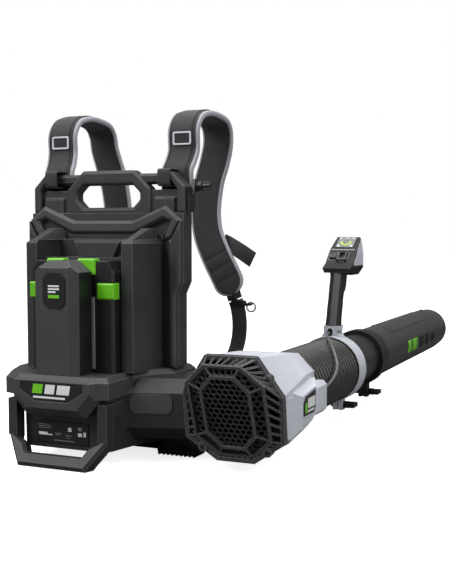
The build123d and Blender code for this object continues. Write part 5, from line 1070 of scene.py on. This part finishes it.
def facePlane(start, way):    # places on a sloping face: u across, v up and lift out of it, in mm
    up = Vector(way).normalized()
    out = Vector((0, -up.z, up.y))

    def place(u, v, lift):
        return Vector(start) + Vector((mm(u), 0, 0)) + up * mm(v) + out * mm(lift)

    return place, out


onDisplay, displayOut = facePlane((fanX, 0.495, 0.362), (0, 0.040, 0.026))
onFace, faceOut = facePlane((fanX, 0.462, 0.331), (0, 0.033, 0.031))

ringSpec = {"middle": (0, 24), "low": 2.05, "high": 2.5, "steps": 40}    # mm on the window
signSpec = {"lift": 2.0, "rise": 0.0004, "edgeMm": 0.15, "ink": "ink_white",
            # u, v, half width, half height
            "places": ((-14.5, 10, 2.6, 3.2), (14.5, 10, 2.6, 3.2), (-14.5, 38, 2.2, 1.6),
                       (14.5, 38, 2.2, 1.6), (0, 39, 3.0, 1.2))}
trimSpec = {"corners": ((-26.2, 40.1), (26.2, 40.1), (25.6, 44.5), (-25.6, 44.5)), "rise": 0.0012,
            "edgeMm": 0.4}
rimSpec = {"radius": 0.0009, "step": 0.0012, "lift": 0.1,
           "lever": ((-10.0, 35.0), (-10.0, 24), (-8.6, 14.0), (-4.0, 8.5), (3.0, 6.8), (10.0, 8.5),
                     (14.6, 14.0), (16.0, 24), (16.0, 35.0)),
           "button": ((-27.2, 30.0), (-27.6, 20), (-26.6, 12.5), (-22.0, 9.6), (-15.0, 9.4), (-12.0, 12.0))}


def flatRing(name, inner, outer, startDeg, endDeg, ink):
    middleU, middleV = ringSpec["middle"]
    low, high, steps = ringSpec["low"], ringSpec["high"], ringSpec["steps"]
    rings = []
    for k in range(steps + 1):
        angle = math.radians(startDeg + (endDeg - startDeg) * k / steps)
        c, s = math.cos(angle), math.sin(angle)
        rings.append([onDisplay(middleU + radius * c, middleV + radius * s, lift)
                      for radius, lift in ((inner, low), (outer, low), (outer, high), (inner, high))])
    settle(sweptPiece(name, rings, ink), "handle")


def displaySign(name, u, v, halfU, halfV):
    corners = [onDisplay(u + a * halfU, v + b * halfV, signSpec["lift"])
               for a, b in ((-1, -1), (1, -1), (1, 1), (-1, 1))]
    piece = slabPiece(name, corners, displayOut * signSpec["rise"], signSpec["ink"], signSpec["edgeMm"])
    settle(piece, "handle")


def faceRim(name, corners):    # a fine pale grey line round a control: painted highlight on its edge
    line, _ = softLine([onFace(u, v, rimSpec["lift"]) for u, v in corners], rimSpec["step"])
    settle(roundTube(name, line, rimSpec["radius"], "ink_grey", 10), "handle")


flatRing("charge_ring", 8.2, 12.0, 170, 370, "display_light_guide")
flatRing("inner_ring", 5.4, 7.0, 0, 360, "ink_grey")
for signIndex, sign in enumerate(signSpec["places"]):
    displaySign(f"display_sign_{signIndex}", *sign)

# the control face below the window: a pale trim line, and thin pale rims round the lever and the button as
# painted edge highlights
trimCorners = [onFace(u, v, 0) for u, v in trimSpec["corners"]]
trim = slabPiece("head_trim", trimCorners, faceOut * trimSpec["rise"], "ink_grey", trimSpec["edgeMm"])
settle(trim, "handle")
faceRim("lever_rim", rimSpec["lever"])
faceRim("button_rim", rimSpec["button"])
print("display made")


# screws: pan heads with a six-point drive, in a shallow seat; the seat and the drive's recess are black as
# painted shade

screwSpec = {"head": 0.0040, "seat": 0.0054, "seatRise": 0.0003, "rise": 0.0012, "drive": 0.0017,
             "floor": 0.0002, "centre": 0.0001, "steps": 24, "points": 6, "pointDepth": 0.16, "size": 0.80,
             "places": (((0.318, 0.4095, 0.171), (0.15, -1, 0)), ((0.320, 0.4075, 0.190), (0.10, -1, 0)))}


def screwHead(name, place, direction, spec):
    way = Vector(direction).normalized()
    side = way.orthogonal().normalized()
    up = way.cross(side)
    head, rise, drive, floor = spec["head"], spec["rise"], spec["drive"], spec["floor"]
    profile = [(spec["seat"], 0.0), (spec["seat"], spec["seatRise"]), (head * 1.08, spec["seatRise"]),
               (head, rise * 0.6), (head * 0.8, rise), (drive, rise), (drive * 0.9, floor),
               (spec["centre"], floor)]
    starPoints = (5, 6)    # the two profile points that the six-point drive pushes in and out
    count, steps, size = len(profile), spec["steps"], spec["size"]
    points, faces, marks = [], [], []
    for k in range(steps):
        angle = 2 * math.pi * k / steps
        for index, (radius, lift) in enumerate(profile):
            if index in starPoints:
                radius *= 1.0 + spec["pointDepth"] * math.cos(spec["points"] * angle)
            outward = (side * math.cos(angle) + up * math.sin(angle)) * radius * size
            points.append(Vector(place) + outward + way * lift * size)
    for k in range(steps):
        n = (k + 1) % steps
        for j in range(count - 1):
            faces.append([k * count + j, k * count + j + 1, n * count + j + 1, n * count + j])
            # the seat faces and the drive's floor in black: painted shade
            marks.append(1 if j < 2 or j > 5 else 0)
    faces.append([k * count for k in range(steps)])
    piece = newPiece(name, points, faces, ["plated_steel", "ink_black"], marks + [1])
    settle(tidyNormals(piece), "handle")


for screwIndex, (place, way) in enumerate(screwSpec["places"]):
    screwHead(f"screw_{screwIndex}", place, way, screwSpec)
print("screws set")


# studio: white floor, one large soft key from the upper left, a fill from the right

studioSpec = {"ambient": 0.24, "paper": "#ffffff", "paperShade": "#f6f6f6", "cloudScale": 3.0,
              "bounce": "#6a6a6a", "glow": 0.80, "halfSize": 14.0, "drop": 0.0002}
lamps = {    # place, aim, side of the square lamp in metres, watts
    "key": ((-1.3, -1.9, 2.3), (0.05, 0.1, 0.25), 1.6, 64.0),
    "fill": ((2.6, -0.9, 1.3), (0.25, 0.3, 0.2), 1.6, 26.0),
    "top": ((0.2, 0.4, 2.6), (0.2, 0.3, 0.2), 2.4, 60.0)}
plainWhite = (1.0, 1.0, 1.0, 1.0)


def areaLight(name, place, aim, side, power):
    data = bpy.data.lights.new(name, "AREA")
    data.shape = "SQUARE"
    data.size = side
    data.energy = power
    lamp = bpy.data.objects.new(name, data)
    lamp.location = place
    lamp.rotation_euler = (Vector(aim) - Vector(place)).to_track_quat("-Z", "Y").to_euler()
    bpy.context.scene.collection.objects.link(lamp)


for lampName, lampSpec in lamps.items():
    areaLight(lampName, *lampSpec)


def makeWorld(strength):    # white behind the object, and a low even light on it
    world = bpy.data.worlds.new("studio")
    world.use_nodes = True
    world.node_tree.nodes.clear()
    rays = addNode(world, "ShaderNodeLightPath")
    seen = addNode(world, "ShaderNodeMath", {"operation": "MAXIMUM"},
                   {0: rays.outputs["Is Camera Ray"], 1: rays.outputs["Is Transmission Ray"]})
    light = addNode(world, "ShaderNodeBackground", {"Color": plainWhite, "Strength": strength})
    white = addNode(world, "ShaderNodeBackground", {"Color": plainWhite, "Strength": 1.0})
    mix = addNode(world, "ShaderNodeMixShader", None,
                  {0: seen.outputs["Value"], 1: light.outputs["Background"], 2: white.outputs["Background"]})
    addNode(world, "ShaderNodeOutputWorld", None, {"Surface": mix.outputs["Shader"]})
    bpy.context.scene.world = world


makeWorld(studioSpec["ambient"])


def studioFloor(spec):    # matt white paper, lifted for the eye so that only the contact shadow stays
    material, place = newMaterial("sweep_paper")
    cloud = addNode(material, "ShaderNodeTexNoise", {"Scale": spec["cloudScale"]}, {"Vector": place})
    base = addNode(material, "ShaderNodeMix",
                   {"data_type": "RGBA", 6: hexColour(spec["paperShade"]), 7: hexColour(spec["paper"])},
                   {0: cloud.outputs["Fac"]})
    paper = addNode(material, "ShaderNodeBsdfDiffuse", None, {"Color": base.outputs[2]})
    glow = addNode(material, "ShaderNodeEmission", {"Color": plainWhite, "Strength": spec["glow"]})
    rays = addNode(material, "ShaderNodeLightPath")
    lifted = addNode(material, "ShaderNodeAddShader", None,
                     {0: paper.outputs["BSDF"], 1: glow.outputs["Emission"]})
    bounce = addNode(material, "ShaderNodeBsdfDiffuse", {"Color": hexColour(spec["bounce"])})
    mix = addNode(material, "ShaderNodeMixShader", None,
                  {0: rays.outputs["Is Camera Ray"], 1: bounce.outputs["BSDF"], 2: lifted.outputs["Shader"]})
    addNode(material, "ShaderNodeOutputMaterial", None, {"Surface": mix.outputs["Shader"]})
    mesh = bpy.data.meshes.new("floor")
    size = spec["halfSize"]
    corners = [(-size, -size, 0), (size, -size, 0), (size, size, 0), (-size, size, 0)]
    mesh.from_pydata(corners, [], [[0, 1, 2, 3]])
    mesh.materials.append(material)
    floor = bpy.data.objects.new("floor", mesh)
    floor.location.z = -spec["drop"]
    bpy.context.scene.collection.objects.link(floor)


studioFloor(studioSpec)
bpy.context.scene.view_settings.view_transform = "Standard"
print("studio lit")
